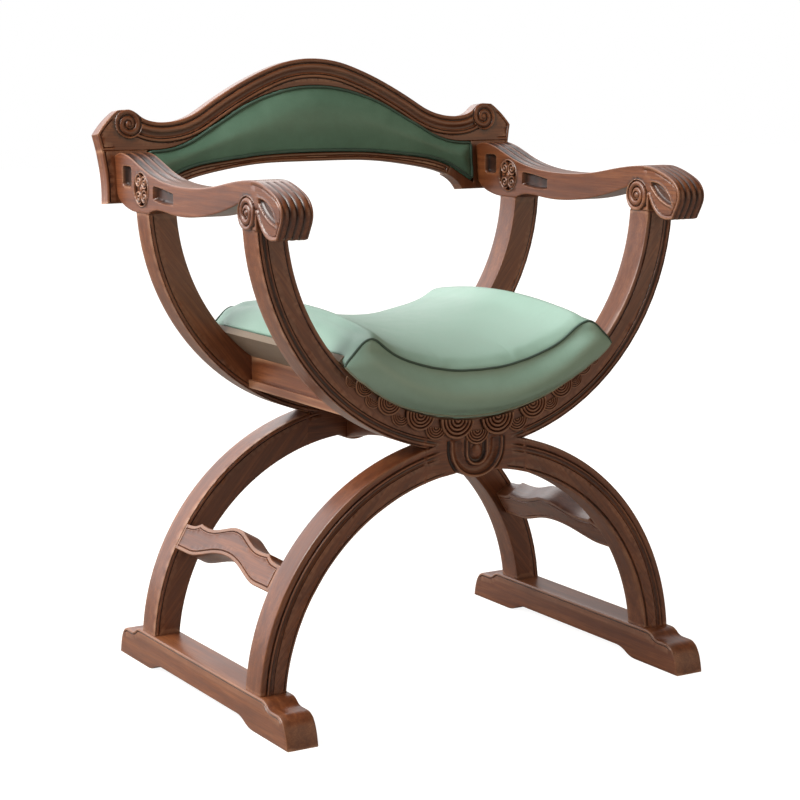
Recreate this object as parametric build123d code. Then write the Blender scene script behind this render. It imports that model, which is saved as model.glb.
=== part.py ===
from build123d import *

import math
import os

# Savonarola armchair: a round U of posts stands on an inverted U of legs, front and rear, joined by a
# carved hub.  Scroll arms cap the posts, sled runners carry the legs, a bent seat panel lies in the
# posts' arc and a raked back stands on the arms' tails.
#
# Millimetres.  +Z is up, -Y is the front, X runs from one arm to the other.  While the pieces are made,
# y = 0 is the plane midway between the two arc frames; the export moves it to the middle of the chair.

# ---- Arc frames ----
frame_depth = 358.0  # front face of the front frame to rear face of the rear frame
frame_thickness = 40.0
post_ring_radius = 315.0  # outer radius of the U of posts
post_width = 41.0
leg_ring_radius = 320.5  # outer radius of the inverted U of legs
leg_ring_height = 27.0  # height of its centre above the floor
leg_foot_width = 37.5
leg_crown_width = 43.5
crossing_overlap = 16.5  # how far the two outer circles run into each other at the hub
post_end_drop = 16.5  # the posts stop this far below the centre of their arc
hub_shoulder = 5.0  # the hub reaches this far past the notch where the outer circles cross
drop_radius = 40.5  # carved drop that hangs from the hub
drop_length = 53.0
loop_width = 4.5  # raised loop along the drop's edge
loop_relief = 3.5
inner_loop_radius = 17.5
inner_loop_shift = 7.0  # centre of the inner loop below the centre of the outer one
bud_radius = 7.5
edge_band = 11.5  # moulded band along the outer edge of the posts and legs
line_width = 1.8  # lines cut into the mouldings
line_depth = 1.5

# ---- Runners ----
runner_height = 49.0
runner_width = 44.0
runner_overhang = 1.5  # outer side face beyond the leg's outer radius
runner_toe = 75.5  # toe reaches this far beyond the frame's face
runner_step = 9.0  # the toe is this much lower than the runner
runner_pad_inset = 19.0  # floor pad starts this far inside the frame's outer face
runner_pad_slope = 45.0
runner_lift = 11.0  # clearance under the middle of the runner

# ---- Side stretchers ----
stretcher_angle = 30.5  # direction of the stretcher's outer face, up from level
stretcher_thickness = 30.0
stretcher_crown = 37.0  # upper edge above the face's centre line at mid-span
stretcher_end_rise = 15.0
stretcher_belly = 3.0  # lower edge below the centre line at mid-span
stretcher_end_depth = 22.0
stretcher_cusp_inset = 39.0  # cusp of the upper edge from the frame's inner face
stretcher_cusp_rise = 23.0

# ---- Rails under the seat ----
rail_inset = 38.5  # outer face inside the seat panel's end
rail_thickness = 28.0
rail_depth = 43.5  # height of the outer face
rail_bead = 5.0
rail_bead_height = 11.0
centre_rail_width = 30.0
centre_rail_drop = 20.0  # top below the posts' inner arc
centre_rail_depth = 55.0  # height of its ends
centre_rail_arch = 20.0

# ---- Tenons and dowels ----
tenon_length = 20.0
tenon_thickness = 12.0
tenon_shoulder = 5.0
tenon_gap = 0.15
hub_tenon_height = 22.0  # loose tenons between the hub and its posts and legs
end_tenon_width = 24.0  # tenons on the legs' feet and the posts' ends
arm_tenon_height = 28.0  # tenon on the arm's tail
stile_tenon_width = 30.0
stile_tenon_thickness = 10.0
stile_tenon_length = 16.0
dowel_radius = 3.0  # dowels between the back's lower rail and its stiles
dowel_reach = 14.0

# ---- Arms, measured up from the posts' ends ----
arm_brow = 60.5  # top above the front frame
arm_waist = 41.5  # top of the arm at mid-span
arm_tail = 76.5
arm_tail_inset = 12.0  # highest point of the tail in front of the stile
arm_nose = 66.5  # scroll nose in front of the front frame
arm_nose_height = 22.5
arm_nose_drop = 8.5
arm_web = 3.5  # underside at mid-span
arm_rear_gap = 61.0  # foot of the back behind the rear frame
tail_foot = 22.0
volute_radius = 23.0
volute_height = 20.5
volute_shift = 4.6  # its eye behind the middle of the front frame
volute_disc = 20.0  # raised discs of the volutes and ears stand proud of their faces
volute_proud = 2.5
carving_depth = 6.0  # leaf and sunk panels in the arms' sides
leaf_length = 44.0
leaf_crown = 12.0  # its upper arc above its chord, and its lower arc below
leaf_hollow = 1.0
leaf_droop = 32.0
leaf_root = 30.0  # root of the leaf in front of the volute's eye
leaf_drop = 23.0  # and below the arm's brow
rosette_radius = 24.0
rosette_depth = 3.6
rosette_inset = 34.0  # its middle in front of the rear frame's rear face
rosette_height = 31.5
panel_rear_gap = 14.0  # square sunk panel behind the rosette
square_panel = (31.0, 28.0)
square_panel_rise = 15.0
long_panel = (68.0, 15.0)
long_panel_drop = 19.0  # its front end below the arm's waist
long_panel_rise = 5.0  # its slope in degrees
long_panel_gap = 8.0  # its rear end in front of the rosette's edge

# ---- Back, measured up from its foot ----
back_rake = 6.0
back_foot_rise = 8.5  # foot of the back above the posts' ends
back_thickness = 22.5
back_peak = 196.0
back_hollow = 109.0
back_overhang = 23.0  # crest corners beyond the posts' outer radius
back_foot_inset = 8.0  # foot of the stile inside the crest corner
back_corner = 94.5
hollow_inset = 98.0  # hollow of the crest from its corner
ear_inset = 47.0
ear_radius = 20.0
ear_sink = 1.5  # its middle below the hollow of the crest
crest_width = 38.5
crest_line = 7.0  # cut line below the crest's edge
stile_height = 71.4
stile_lap = 8.0  # stile's inner edge inside the arm's inner face
stile_foot_width = 85.0
rail_arch = 49.0
lower_rail_width = 12.0
peak_reach = 129.0  # handles of the opening's upper curve
flat_reach = 85.0
flat_inset = 11.0  # level ends of the upper curve
knee_inset = 46.0  # points of the opening's lower curve
knee_rise = 28.0
slack_inset = 126.0
slack_drop = 7.5
opening_corner = 9.0  # lower corner of the panel above the foot
rail_joint_inset = 44.0  # joint of the lower rail from the panel's side
rail_joint_height = 27.0
rail_joint_angle = 29.0
rebate_lip = 6.0
rebate_depth = 12.0
pad_proud = 3.0
back_panel_thickness = 6.0
back_cover_thickness = 5.0
leather_gap = 0.3

# ---- Seat ----
seat_angle = 48.0  # the panel spans this far each side of the lowest point
seat_panel_thickness = 10.0
seat_gap = 0.2
cushion_rim = 47.0  # cushion's rim above the posts' inner arc
cushion_dip = 54.0  # middle of the cushion below the rim
cushion_lip = 12.0  # border in front of the frames

# ---- Derived places ----
half_depth = frame_depth / 2
inner_depth = half_depth - frame_thickness
frame_mid = half_depth - frame_thickness / 2
ring_distance = leg_ring_radius + post_ring_radius - crossing_overlap
post_ring_height = leg_ring_height + ring_distance
post_inner_radius = post_ring_radius - post_width
leg_inner_radius = leg_ring_radius - leg_foot_width
leg_crown = leg_ring_height + leg_ring_radius
leg_inner_height = leg_crown - leg_crown_width - leg_inner_radius
arm_base = post_ring_height - post_end_drop
arm_middle = post_ring_radius - post_width / 2
notch_rise = (ring_distance**2 + leg_ring_radius**2 - post_ring_radius**2) / (2 * ring_distance)
notch_height = leg_ring_height + notch_rise
hub_half_width = math.sqrt(leg_ring_radius**2 - notch_rise**2) + hub_shoulder
runner_outer = leg_ring_radius + runner_overhang
centre_rail_top = post_ring_height - post_inner_radius - centre_rail_drop
centre_rail_bottom = centre_rail_top - centre_rail_depth
rake_slope = math.tan(math.radians(back_rake))
back_foot = arm_base + back_foot_rise
back_face = half_depth + arm_rear_gap + back_foot_rise * rake_slope
back_corner_x = post_ring_radius + back_overhang
panel_half_width = post_inner_radius - stile_lap
volute_eye = (volute_shift - frame_mid, volute_height)
rosette_middle = (half_depth - rosette_inset, rosette_height)
seat_radius = post_inner_radius - seat_gap
seat_top_radius = seat_radius - seat_panel_thickness
rail_outer = seat_radius * math.sin(math.radians(seat_angle)) - rail_inset
rail_inner = rail_outer - rail_thickness
rail_bottom = post_ring_height - math.sqrt(post_inner_radius**2 - rail_outer**2) - rail_depth
beyond = 2 * (post_ring_height + frame_depth)  # longer than anything in the chair

pieces = {}


def below_circle(centre, radius, x):
    """Height of the lower side of a circle at a distance from the middle plane."""
    return centre - math.sqrt(radius**2 - x**2)


def across(outline, front, rear):
    """Extrude an outline drawn in X and Z from one depth to another."""
    return extrude(Pos(0, front, 0) * (Plane.XZ * outline), amount=rear - front, dir=(0, 1, 0))


def sideways(outline, left, right):
    """Extrude an outline drawn in Y and Z from one side to another."""
    return extrude(Pos(left, 0, 0) * (Plane.YZ * outline), amount=right - left, dir=(1, 0, 0))


def window(left, right, low, high):
    """Rectangle between four limits."""
    return Pos((left + right) / 2, (low + high) / 2) * Rectangle(right - left, high - low)


def disc(height, radius):
    """Circle centred on the middle plane."""
    return Pos(0, height) * Circle(radius)


def both_sides(solids):
    """Right-hand solids and their mirror images."""
    return solids + [mirror(solid, about=Plane.YZ) for solid in solids]


def both_frames(solids):
    """Solids of the front frame and their mirror images in the rear frame."""
    return solids + [mirror(solid, about=Plane.XZ) for solid in solids]


def cut_all(piece, tools):
    """Take every tool away from a piece."""
    for tool in tools:
        piece = piece - tool
    return piece


def whole(half):
    """A symmetric outline from its right half."""
    return half + mirror(half, about=Plane.YZ)


def as_arcs(curve, pieces=2):
    """Redraw a curve as pairs of arcs that meet and end in its own directions."""
    arcs = []
    for index in range(pieces):
        start, end = index / pieces, (index + 1) / pieces
        first, last = curve @ start, curve @ end
        leave, arrive = (curve % start).normalized(), (curve % end).normalized()
        span = last - first
        turn = 2 * (1 - leave.dot(arrive))
        along = span.dot(leave + arrive)
        if turn < 1e-6:
            reach = span.dot(span) / (2 * along)
        else:
            reach = (math.sqrt(along**2 + turn * span.dot(span)) - along) / turn
        middle = (first + last + (leave - arrive) * reach) / 2
        arcs.append(TangentArc(first, middle, tangent=leave))
        arcs.append(TangentArc(last, middle, tangent=-arrive))
    return arcs


def add(name, *solids):
    """Store one node; several solids stay separate in it."""
    found = [found for solid in solids for found in solid.solids()]
    pieces[name] = found[0] if len(found) == 1 else Compound(found)


def add_pair(name, right_piece):
    """Store a right-hand piece and its mirror image as two nodes."""
    add(name.format("right"), right_piece)
    add(name.format("left"), mirror(right_piece, about=Plane.YZ))


# ---- Tenons of the right-hand side of the front frame; a gap makes their mortises ----
def upright_box(centre, size, gap):
    """Box about a centre, fat by a gap on every side."""
    return Pos(*centre) * Box(*[length + 2 * gap for length in size])


def hub_tenons(gap=0.0):
    """Loose tenons that join the hub to the right-hand post and leg."""
    post_foot = below_circle(post_ring_height, post_inner_radius, hub_half_width)
    leg_head = leg_inner_height + math.sqrt(leg_inner_radius**2 - hub_half_width**2)
    heights = [(notch_height + post_foot) / 2, (notch_height + leg_head) / 2]
    size = (2 * tenon_length, tenon_thickness, hub_tenon_height)
    return [upright_box((hub_half_width, -frame_mid, height), size, gap) for height in heights]


def foot_tenon(gap=0.0):
    """Tenon on the leg's foot, into the runner."""
    middle = leg_ring_radius - leg_foot_width / 2
    size = (tenon_thickness, end_tenon_width, 2 * tenon_length)
    return upright_box((middle, -frame_mid, runner_height), size, gap)


def post_tenon(gap=0.0):
    """Tenon on the post's end, into the arm."""
    size = (tenon_thickness, end_tenon_width, 2 * tenon_length)
    return upright_box((arm_middle, -frame_mid, arm_base), size, gap)


# ---- Arc frames: hub, posts and legs ----
def post_ring():
    """Full ring that the posts are cut from."""
    return disc(post_ring_height, post_ring_radius) - disc(post_ring_height, post_inner_radius)


def leg_ring():
    """Full ring that the legs are cut from, thinner towards the feet."""
    return disc(leg_ring_height, leg_ring_radius) - disc(leg_inner_height, leg_inner_radius)


def drop_outline(radius, top, shift=0.0):
    """Drop with straight sides and a round foot, hanging from the crown of the legs."""
    middle = leg_crown - drop_length + drop_radius - shift
    return (disc(middle, radius) & window(-radius, radius, 0, middle)) + window(-radius, radius, middle, top)


def hub_body():
    """Centre block of an arc frame, with the drop below it."""
    band = window(-hub_half_width, hub_half_width, leg_inner_height, post_ring_height)
    outline = (post_ring() + leg_ring()) & band
    hub = across(outline + drop_outline(drop_radius, leg_crown), -half_depth, -inner_depth)
    return cut_all(hub, both_sides(hub_tenons(tenon_gap)) + [centre_tenon(tenon_gap)])


def drop_relief_body():
    """Two raised loops and a bud on the front of the hub."""
    loops = disc(leg_crown - drop_length + drop_radius - inner_loop_shift, bud_radius)
    for radius, shift in ((drop_radius, 0.0), (inner_loop_radius, inner_loop_shift)):
        loops += drop_outline(radius, leg_crown, shift) - drop_outline(radius - loop_width, beyond, shift)
    return across(loops, -half_depth - loop_relief, -half_depth)


def edge_line(height, radius):
    """Line cut along the front of a ring, inside its moulded band."""
    ring = disc(height, radius - edge_band) - disc(height, radius - edge_band - line_width)
    return across(ring, -half_depth, -half_depth + line_depth)


def post(lined=True):
    """Right-hand post of the front frame."""
    outline = post_ring() & window(hub_half_width, beyond, 0, arm_base)
    solid = across(outline, -half_depth, -inner_depth)
    if lined:
        solid -= edge_line(post_ring_height, post_ring_radius)
    return cut_all(solid + post_tenon(), hub_tenons(tenon_gap) + [seat_rail_tenon(tenon_gap)])


def leg(lined=True):
    """Right-hand leg of the front frame."""
    outline = leg_ring() & window(hub_half_width, beyond, runner_height, post_ring_height)
    solid = across(outline, -half_depth, -inner_depth)
    if lined:
        solid -= edge_line(leg_ring_height, leg_ring_radius)
    return cut_all(solid + foot_tenon(), hub_tenons(tenon_gap) + [stretcher_tenon(tenon_gap)])


# ---- Rails and stretchers between the frames ----
def tenon_bar(low, high, gap):
    """Bar between two corners in X and Z that enters both frames, fat by a gap."""
    reach = inner_depth + tenon_length + gap
    outline = window(low[0] - gap, high[0] + gap, low[1] - gap, high[1] + gap)
    return across(outline, -reach, reach)


def seat_rail_tenon(gap=0.0):
    """Tenons of the right-hand seat rail, or their mortises."""
    middle = (rail_inner + rail_outer) / 2
    top = below_circle(post_ring_height, post_inner_radius, rail_inner)
    low = (middle - tenon_thickness / 2, rail_bottom + tenon_shoulder)
    return tenon_bar(low, (middle + tenon_thickness / 2, top - tenon_shoulder), gap)


def seat_rail():
    """Right-hand rail that follows the posts' arc on top and has a bead along its foot."""
    outline = window(rail_inner, rail_outer, rail_bottom, post_ring_height)
    outline += window(rail_outer, rail_outer + rail_bead, rail_bottom, rail_bottom + rail_bead_height)
    outline -= disc(post_ring_height, post_inner_radius)
    return across(outline, -inner_depth, inner_depth) + seat_rail_tenon()


def centre_tenon(gap=0.0):
    """Tenons of the rail between the hubs, or their mortises."""
    low = (-tenon_thickness / 2, centre_rail_bottom + centre_rail_arch + tenon_shoulder)
    return tenon_bar(low, (tenon_thickness / 2, centre_rail_top - tenon_shoulder), gap)


def centre_rail():
    """Rail between the two hubs, arched along its lower edge."""
    front = (-inner_depth, centre_rail_bottom)
    rear = (inner_depth, centre_rail_bottom)
    arch = ThreePointArc(front, (0, centre_rail_bottom + centre_rail_arch), rear)
    top = Polyline(rear, (inner_depth, centre_rail_top), (-inner_depth, centre_rail_top), front)
    half = centre_rail_width / 2
    return sideways(make_face([arch, top]), -half, half) + centre_tenon()


def stretcher_plane():
    """Outer face of the right-hand stretcher, square to the legs' arc."""
    turn = math.radians(stretcher_angle)
    outward = (math.cos(turn), 0, math.sin(turn))
    flush = math.sqrt(leg_ring_radius**2 - stretcher_end_depth**2)
    origin = (flush * outward[0], 0, leg_ring_height + flush * outward[2])
    return Plane(origin=origin, x_dir=(0, 1, 0), z_dir=outward)


def stretcher_tenon(gap=0.0):
    """Tenons of the right-hand side stretcher, or their mortises."""
    height = stretcher_end_rise + stretcher_end_depth - 2 * tenon_shoulder + 2 * gap
    middle = (stretcher_end_rise - stretcher_end_depth) / 2
    reach = inner_depth + tenon_length + gap
    tenon = Box(2 * reach, height, tenon_thickness + 2 * gap)
    return stretcher_plane() * (Pos(0, middle, -stretcher_thickness / 2) * tenon)


def stretcher():
    """Right-hand stretcher: a bracket-shaped board with a raised middle."""
    end = inner_depth
    cusp = end - stretcher_cusp_inset
    crown, belly = stretcher_crown, -stretcher_belly
    rise, depth = stretcher_end_rise, -stretcher_end_depth
    upper = Bezier((0, crown), (cusp * 0.38, crown), (cusp * 0.46, rise), (cusp, stretcher_cusp_rise))
    shoulder = Bezier((cusp, stretcher_cusp_rise), (cusp * 1.12, rise), (end, rise))
    ends = Polyline((end, rise), (end, depth), (cusp, depth))
    lower = Bezier((cusp, depth), (cusp * 0.64, depth), (cusp * 0.48, belly), (0, belly))
    middle = Line((0, belly), (0, crown))
    outline = whole(make_face([*as_arcs(upper), *as_arcs(shoulder, 1), ends, *as_arcs(lower), middle]))
    board = extrude(outline, amount=-stretcher_thickness, dir=(0, 0, 1))
    return stretcher_plane() * board + stretcher_tenon()


# ---- Runners ----
def runner():
    """Right-hand sled runner: low rounded toes, floor pads and a raised middle."""
    toe = half_depth + runner_toe
    low_top = runner_height - runner_step
    step = half_depth + runner_toe * 0.1
    flat = half_depth + runner_toe * 0.45
    brow = half_depth + runner_toe * 0.65
    pad = half_depth - runner_pad_inset
    slope = pad - runner_pad_slope
    ankle = Bezier((step, runner_height), (step + 10, runner_height), (flat - 12, low_top), (flat, low_top))
    nose = Bezier((brow, low_top), (toe - 9, low_top), (toe - 3, low_top / 2), (toe, 0))
    instep = Bezier((pad, 0), (pad - 15, 0), (slope + 15, runner_lift), (slope, runner_lift))
    outline = whole(make_face([
        Line((0, runner_height), (step, runner_height)),
        *as_arcs(ankle, 1),
        Line((flat, low_top), (brow, low_top)),
        *as_arcs(nose),
        Line((toe, 0), (pad, 0)),
        *as_arcs(instep, 1),
        Line((slope, runner_lift), (0, runner_lift)),
        Line((0, runner_lift), (0, runner_height)),
    ]))
    solid = sideways(outline, runner_outer - runner_width, runner_outer)
    return cut_all(solid, both_frames([foot_tenon(tenon_gap)]))


# ---- Arms ----
def stile_face(height):
    """Depth of the back's front face at a height above the posts' ends."""
    return half_depth + arm_rear_gap + height * rake_slope


def arm_outline():
    """Side view of an arm, measured up from the posts' ends."""
    front, rear = -half_depth, half_depth
    nose = front - arm_nose
    tail_end = (stile_face(arm_tail - 4), arm_tail - 4)
    brow = (front + 2, arm_brow)
    nose_tip = (nose, arm_nose_height)
    chin = (nose + 14, -arm_nose_drop + 1)
    throat = (front, volute_height)
    eye = volute_eye
    leave = math.radians(28)
    volute_end = (eye[0] + volute_radius * math.cos(leave), eye[1] + volute_radius * math.sin(leave))
    volute_foot = eye[1] - math.sqrt(volute_radius**2 - (-inner_depth - eye[0]) ** 2)
    tail_low = (stile_face(tail_foot), tail_foot)
    top = Spline(
        tail_end,
        (tail_end[0] - arm_tail_inset, arm_tail),
        (rear - 12, arm_tail - 14),
        (rear - 83, arm_waist + 4),
        (0.2 * inner_depth, arm_waist),
        (-47, arm_waist + 4),
        (-105, arm_brow - 6),
        brow,
    )
    crown = Spline(brow, (front - 32, arm_brow - 8), (nose + 9, arm_brow - 20), nose_tip,
                   tangents=[(-1, -0.1), (0, -1)])
    lip = Spline(nose_tip, (nose + 5, arm_nose_height - 15), chin, tangents=[(0, -1), (0.6, -1)])
    under = Spline(chin, (nose + 36, -arm_nose_drop), throat, tangents=[(1, -0.3), (0.5, 1)])
    web = Spline(volute_end, (-75, arm_web + 12), (0, arm_web + 1), (75, arm_web + 1), (rear - 64, arm_web + 3),
                 (inner_depth, 0))
    tail = Spline((rear, 0), (rear + 28, 3.5), tail_low, tangents=[(1, 0), (1, 1.4)])
    return make_face([
        *as_arcs(top, 7),
        *as_arcs(crown, 3),
        *as_arcs(lip),
        *as_arcs(under),
        Polyline(throat, (front, 0), (-inner_depth, 0), (-inner_depth, volute_foot)),
        ThreePointArc((-inner_depth, volute_foot), (eye[0] + volute_radius, eye[1]), volute_end),
        *as_arcs(web, 5),
        Line((inner_depth, 0), (rear, 0)),
        *as_arcs(tail),
        Line(tail_low, tail_end),
    ])


def lens(root, length, angle, crown, hollow):
    """Leaf shape between two arcs, from its root along a chord at an angle in degrees."""
    turn = math.radians(angle)
    tip = (root[0] + length * math.cos(turn), root[1] + length * math.sin(turn))
    middle = ((root[0] + tip[0]) / 2, (root[1] + tip[1]) / 2)
    upper = ThreePointArc(root, (middle[0], middle[1] + crown), tip)
    lower = ThreePointArc(root, (middle[0], middle[1] - hollow), tip)
    return make_face([upper, lower])


def sunk_panels():
    """Leaf on the nose, and the long and the square panel beside the rosette."""
    reach, height = rosette_middle
    leaf_start = (volute_eye[0] - leaf_root, arm_brow - leaf_drop)
    nose_leaf = lens(leaf_start, leaf_length, 180 + leaf_droop, leaf_crown, leaf_hollow)
    length, width = long_panel
    long_start = (reach - rosette_radius - long_panel_gap - length, arm_waist - long_panel_drop)
    long_leaf = lens(long_start, length, long_panel_rise, width / 2, width / 2)
    square = Pos(reach + rosette_radius + panel_rear_gap + square_panel[0] / 2, height + square_panel_rise)
    return nose_leaf, long_leaf, square * Rectangle(*square_panel)


def side_carving(sketch, proud, depth):
    """A carved shape on each side of the right-hand arm, between two levels."""
    raised = Pos(0, arm_base) * sketch
    return [
        sideways(raised, post_ring_radius - depth, post_ring_radius + proud),
        sideways(raised, post_inner_radius - proud, post_inner_radius + depth),
    ]


def arm():
    """Right-hand arm with its scroll nose, front capital, carved sides and tail."""
    solid = sideways(Pos(0, arm_base) * arm_outline(), post_inner_radius, post_ring_radius)
    for panel in sunk_panels():
        solid = cut_all(solid, side_carving(panel, 0, carving_depth))
    solid = cut_all(solid, side_carving(Pos(*rosette_middle) * Circle(rosette_radius), 0, rosette_depth))
    for volute in side_carving(Pos(*volute_eye) * Circle(volute_disc), volute_proud, 0):
        solid = solid + volute
    return cut_all(solid, both_frames([post_tenon(tenon_gap)])) + arm_tenon()


# ---- Back, drawn upright on its foot and then raked ----
back_place = Location((0, back_face, back_foot), (-back_rake, 0, 0))
ear_middle = (back_corner_x - ear_inset, back_hollow - ear_sink)


def arm_tenon(gap=0.0):
    """Tenon on the right-hand arm's tail, square to the stile that it enters."""
    size = (tenon_thickness, 2 * tenon_length, arm_tenon_height)
    return back_place * upright_box((arm_middle, 0, stile_height / 2), size, gap)


def back_outline():
    """Whole back, with the ogee crest, its ears and the arched lower edge."""
    hollow = (back_corner_x - hollow_inset, back_hollow)
    slant = ear_radius * math.sin(math.radians(45))
    ear_start = (ear_middle[0] - slant, ear_middle[1] + slant)
    ear_top = (ear_middle[0], ear_middle[1] + ear_radius)
    ear_turn = math.radians(67.5)
    ear_side = (
        ear_middle[0] - ear_radius * math.cos(ear_turn),
        ear_middle[1] + ear_radius * math.sin(ear_turn),
    )
    corner = (back_corner_x, back_corner)
    foot = back_corner_x - back_foot_inset
    instep = foot - stile_foot_width
    ogee = Bezier((0, back_peak), (100, back_peak), (hollow[0] - 58, back_hollow), hollow)
    rise = Bezier(hollow, (hollow[0] + 20, back_hollow), (ear_start[0] - 8, ear_start[1] - 8), ear_start)
    side = Bezier(corner, (foot, back_corner * 0.66), (foot - 3, back_corner * 0.33), (foot, 0))
    arch = Spline((instep, 0), (instep - 53, rail_arch - 17), (instep - 121, rail_arch - 5), (0, rail_arch),
                  tangents=[(-0.5, 1), (-1, 0)])
    return whole(make_face([
        *as_arcs(ogee),
        *as_arcs(rise, 1),
        ThreePointArc(ear_start, ear_side, ear_top),
        Polyline(ear_top, (ear_top[0] + 15, ear_top[1] - 1), (corner[0] - 17, corner[1] + 20), corner),
        *as_arcs(side, 1),
        Line((foot, 0), (instep, 0)),
        *as_arcs(arch, 4),
        Line((0, rail_arch), (0, back_peak)),
    ]))


def opening(grow=0.0):
    """Panel opening between crest, stiles and lower rail, larger all round by a margin."""
    side = panel_half_width + grow
    top = stile_height + grow
    peak = back_peak - crest_width + grow
    flat = panel_half_width - flat_inset
    sill = rail_arch + lower_rail_width - grow
    corner = opening_corner - grow
    arch = Bezier((0, peak), (peak_reach, peak), (flat - flat_reach, top), (flat, top))
    knee = (panel_half_width - knee_inset, corner + knee_rise)
    slack = (panel_half_width - slack_inset, sill - slack_drop)
    foot = Spline((side, corner), knee, slack, (0, sill), tangents=[(-1, 0.62), (-1, 0)])
    return whole(make_face([
        *as_arcs(arch),
        Polyline((flat, top), (side, top), (side, corner)),
        *as_arcs(foot, 4),
        Line((0, sill), (0, peak)),
    ]))


def stile_side():
    """Region outside the right-hand joint of the lower rail, up to the crest."""
    joint = Location((panel_half_width - rail_joint_inset, rail_joint_height, 0), (0, 0, -rail_joint_angle))
    half_plane = joint * (Pos(beyond / 2, 0) * Rectangle(beyond, beyond))
    return half_plane & window(0, beyond, -beyond, stile_height)


def framed(mask):
    """Part of the back's frame inside a mask, rebated from the rear."""
    lip = across((back_outline() - opening()) & mask, 0, back_thickness - rebate_depth)
    rim = across((back_outline() - opening(rebate_lip)) & mask, back_thickness - rebate_depth, back_thickness)
    return lip + rim


def stile_tenon(gap=0.0):
    """Tenon on the right-hand stile's head, into the crest."""
    size = (stile_tenon_width, stile_tenon_thickness, 2 * stile_tenon_length)
    middle = (back_corner_x - back_foot_inset + panel_half_width) / 2
    return upright_box((middle, back_thickness / 2, stile_height), size, gap)


def rail_dowel(gap=0.0):
    """Dowel along the right-hand end of the lower rail, into the stile."""
    depth = (back_thickness - rebate_depth) / 2
    centre = (panel_half_width - rail_joint_inset, depth, rail_joint_height)
    turn = Rot(0, 90 + rail_joint_angle, 0)
    return Pos(*centre) * turn * Cylinder(dowel_radius + gap, 2 * (dowel_reach + gap))


def crest_line_cut():
    """Line cut along the front of the crest, between its ears."""
    span = ear_middle[0] - ear_radius
    band = Pos(0, -crest_line) * back_outline() - Pos(0, -crest_line - line_width) * back_outline()
    return across(band & window(-span, span, stile_height, beyond), 0, line_depth)


def add_back():
    """Crest, stiles, lower rail, panel, pad and rear cover."""
    above = window(-beyond, beyond, stile_height, beyond)
    below = window(-beyond, beyond, -beyond, stile_height)
    between = below - stile_side() - mirror(stile_side(), about=Plane.YZ)
    stile = framed(stile_side()) + stile_tenon() - rail_dowel(tenon_gap)
    panel_front = back_thickness - rebate_depth
    panel_rear = panel_front + back_panel_thickness
    cover_front = panel_rear + leather_gap
    in_rebate = opening(rebate_lip - leather_gap)
    cover = across(in_rebate, cover_front, cover_front + back_cover_thickness)
    crest = cut_all(framed(above), [crest_line_cut(), *both_sides([stile_tenon(tenon_gap)])])
    for volute in both_sides([across(Pos(*ear_middle) * Circle(volute_disc), -volute_proud, 0)]):
        crest = crest + volute
    add("crest_rail", back_place * crest)
    add_pair("{}_back_stile", back_place * stile - arm_tenon(tenon_gap))
    add("back_lower_rail", back_place * cut_all(framed(between), both_sides([rail_dowel(tenon_gap)])))
    add("back_panel", back_place * across(in_rebate, panel_front, panel_rear))
    add("back_pad", back_place * across(opening(-leather_gap), -pad_proud, panel_front - leather_gap))
    add("back_cover", back_place * cover)
    add("back_rail_dowels", *both_sides([back_place * rail_dowel()]))


# ---- Seat ----
def wedge(angle):
    """Sector below the centre of the posts' arc."""
    turn = math.radians(angle)
    x, z = beyond * math.sin(turn), beyond * math.cos(turn)
    return Pos(0, post_ring_height) * make_face(Polyline((0, 0), (x, -z), (-x, -z), (0, 0)))


def add_seat():
    """Bent panel in the posts' arc and the leather cushion on it."""
    sector = wedge(seat_angle)
    panel = (disc(post_ring_height, seat_radius) - disc(post_ring_height, seat_top_radius)) & sector
    rim_radius = post_inner_radius - cushion_rim
    turn = math.radians(seat_angle)
    rim = (rim_radius * math.sin(turn), post_ring_height - rim_radius * math.cos(turn))
    top_radius = (rim[0] ** 2 + cushion_dip**2) / (2 * cushion_dip)
    top = disc(rim[1] - cushion_dip + top_radius, top_radius)
    body_outline = disc(post_ring_height, seat_top_radius - leather_gap) & sector
    lip_outline = disc(post_ring_height, seat_radius) & sector
    lip_inner = half_depth + leather_gap
    lip_outer = half_depth + cushion_lip
    cushion = across(body_outline - top, -lip_inner, lip_inner)
    cushion += across(lip_outline - top, -lip_outer, -lip_inner)
    cushion += across(lip_outline - top, lip_inner, lip_outer)
    add("seat_panel", across(panel, -half_depth, half_depth))
    add("seat_cushion", cushion)


def add_frames():
    """Front and rear arc frames with the loose tenons in their hubs."""
    add("front_hub", hub_body() + drop_relief_body())
    add("rear_hub", mirror(hub_body(), about=Plane.XZ))
    add_pair("front_{}_post", post())
    add_pair("rear_{}_post", mirror(post(lined=False), about=Plane.XZ))
    add_pair("front_{}_leg", leg())
    add_pair("rear_{}_leg", mirror(leg(lined=False), about=Plane.XZ))
    add("front_hub_tenons", *both_sides(hub_tenons()))
    add("rear_hub_tenons", *[mirror(tenon, about=Plane.XZ) for tenon in both_sides(hub_tenons())])


def main():
    """Make every piece, move the chair's middle to the origin and write the STEP files."""
    add_frames()
    add_pair("{}_runner", runner())
    add_pair("{}_stretcher", stretcher())
    add_pair("{}_seat_rail", seat_rail())
    add("centre_rail", centre_rail())
    add_pair("{}_armrest", arm())
    add_back()
    add_seat()
    box = Compound([solid for piece in pieces.values() for solid in piece.solids()]).bounding_box()
    middle = Pos(0, -(box.min.Y + box.max.Y) / 2, 0)
    os.makedirs("parts", exist_ok=True)
    for name, piece in pieces.items():
        export_step(middle * piece, f"parts/{name}.step")
    print(len(pieces), "nodes", "size", box.size)


if __name__ == "__main__":
    main()
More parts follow.
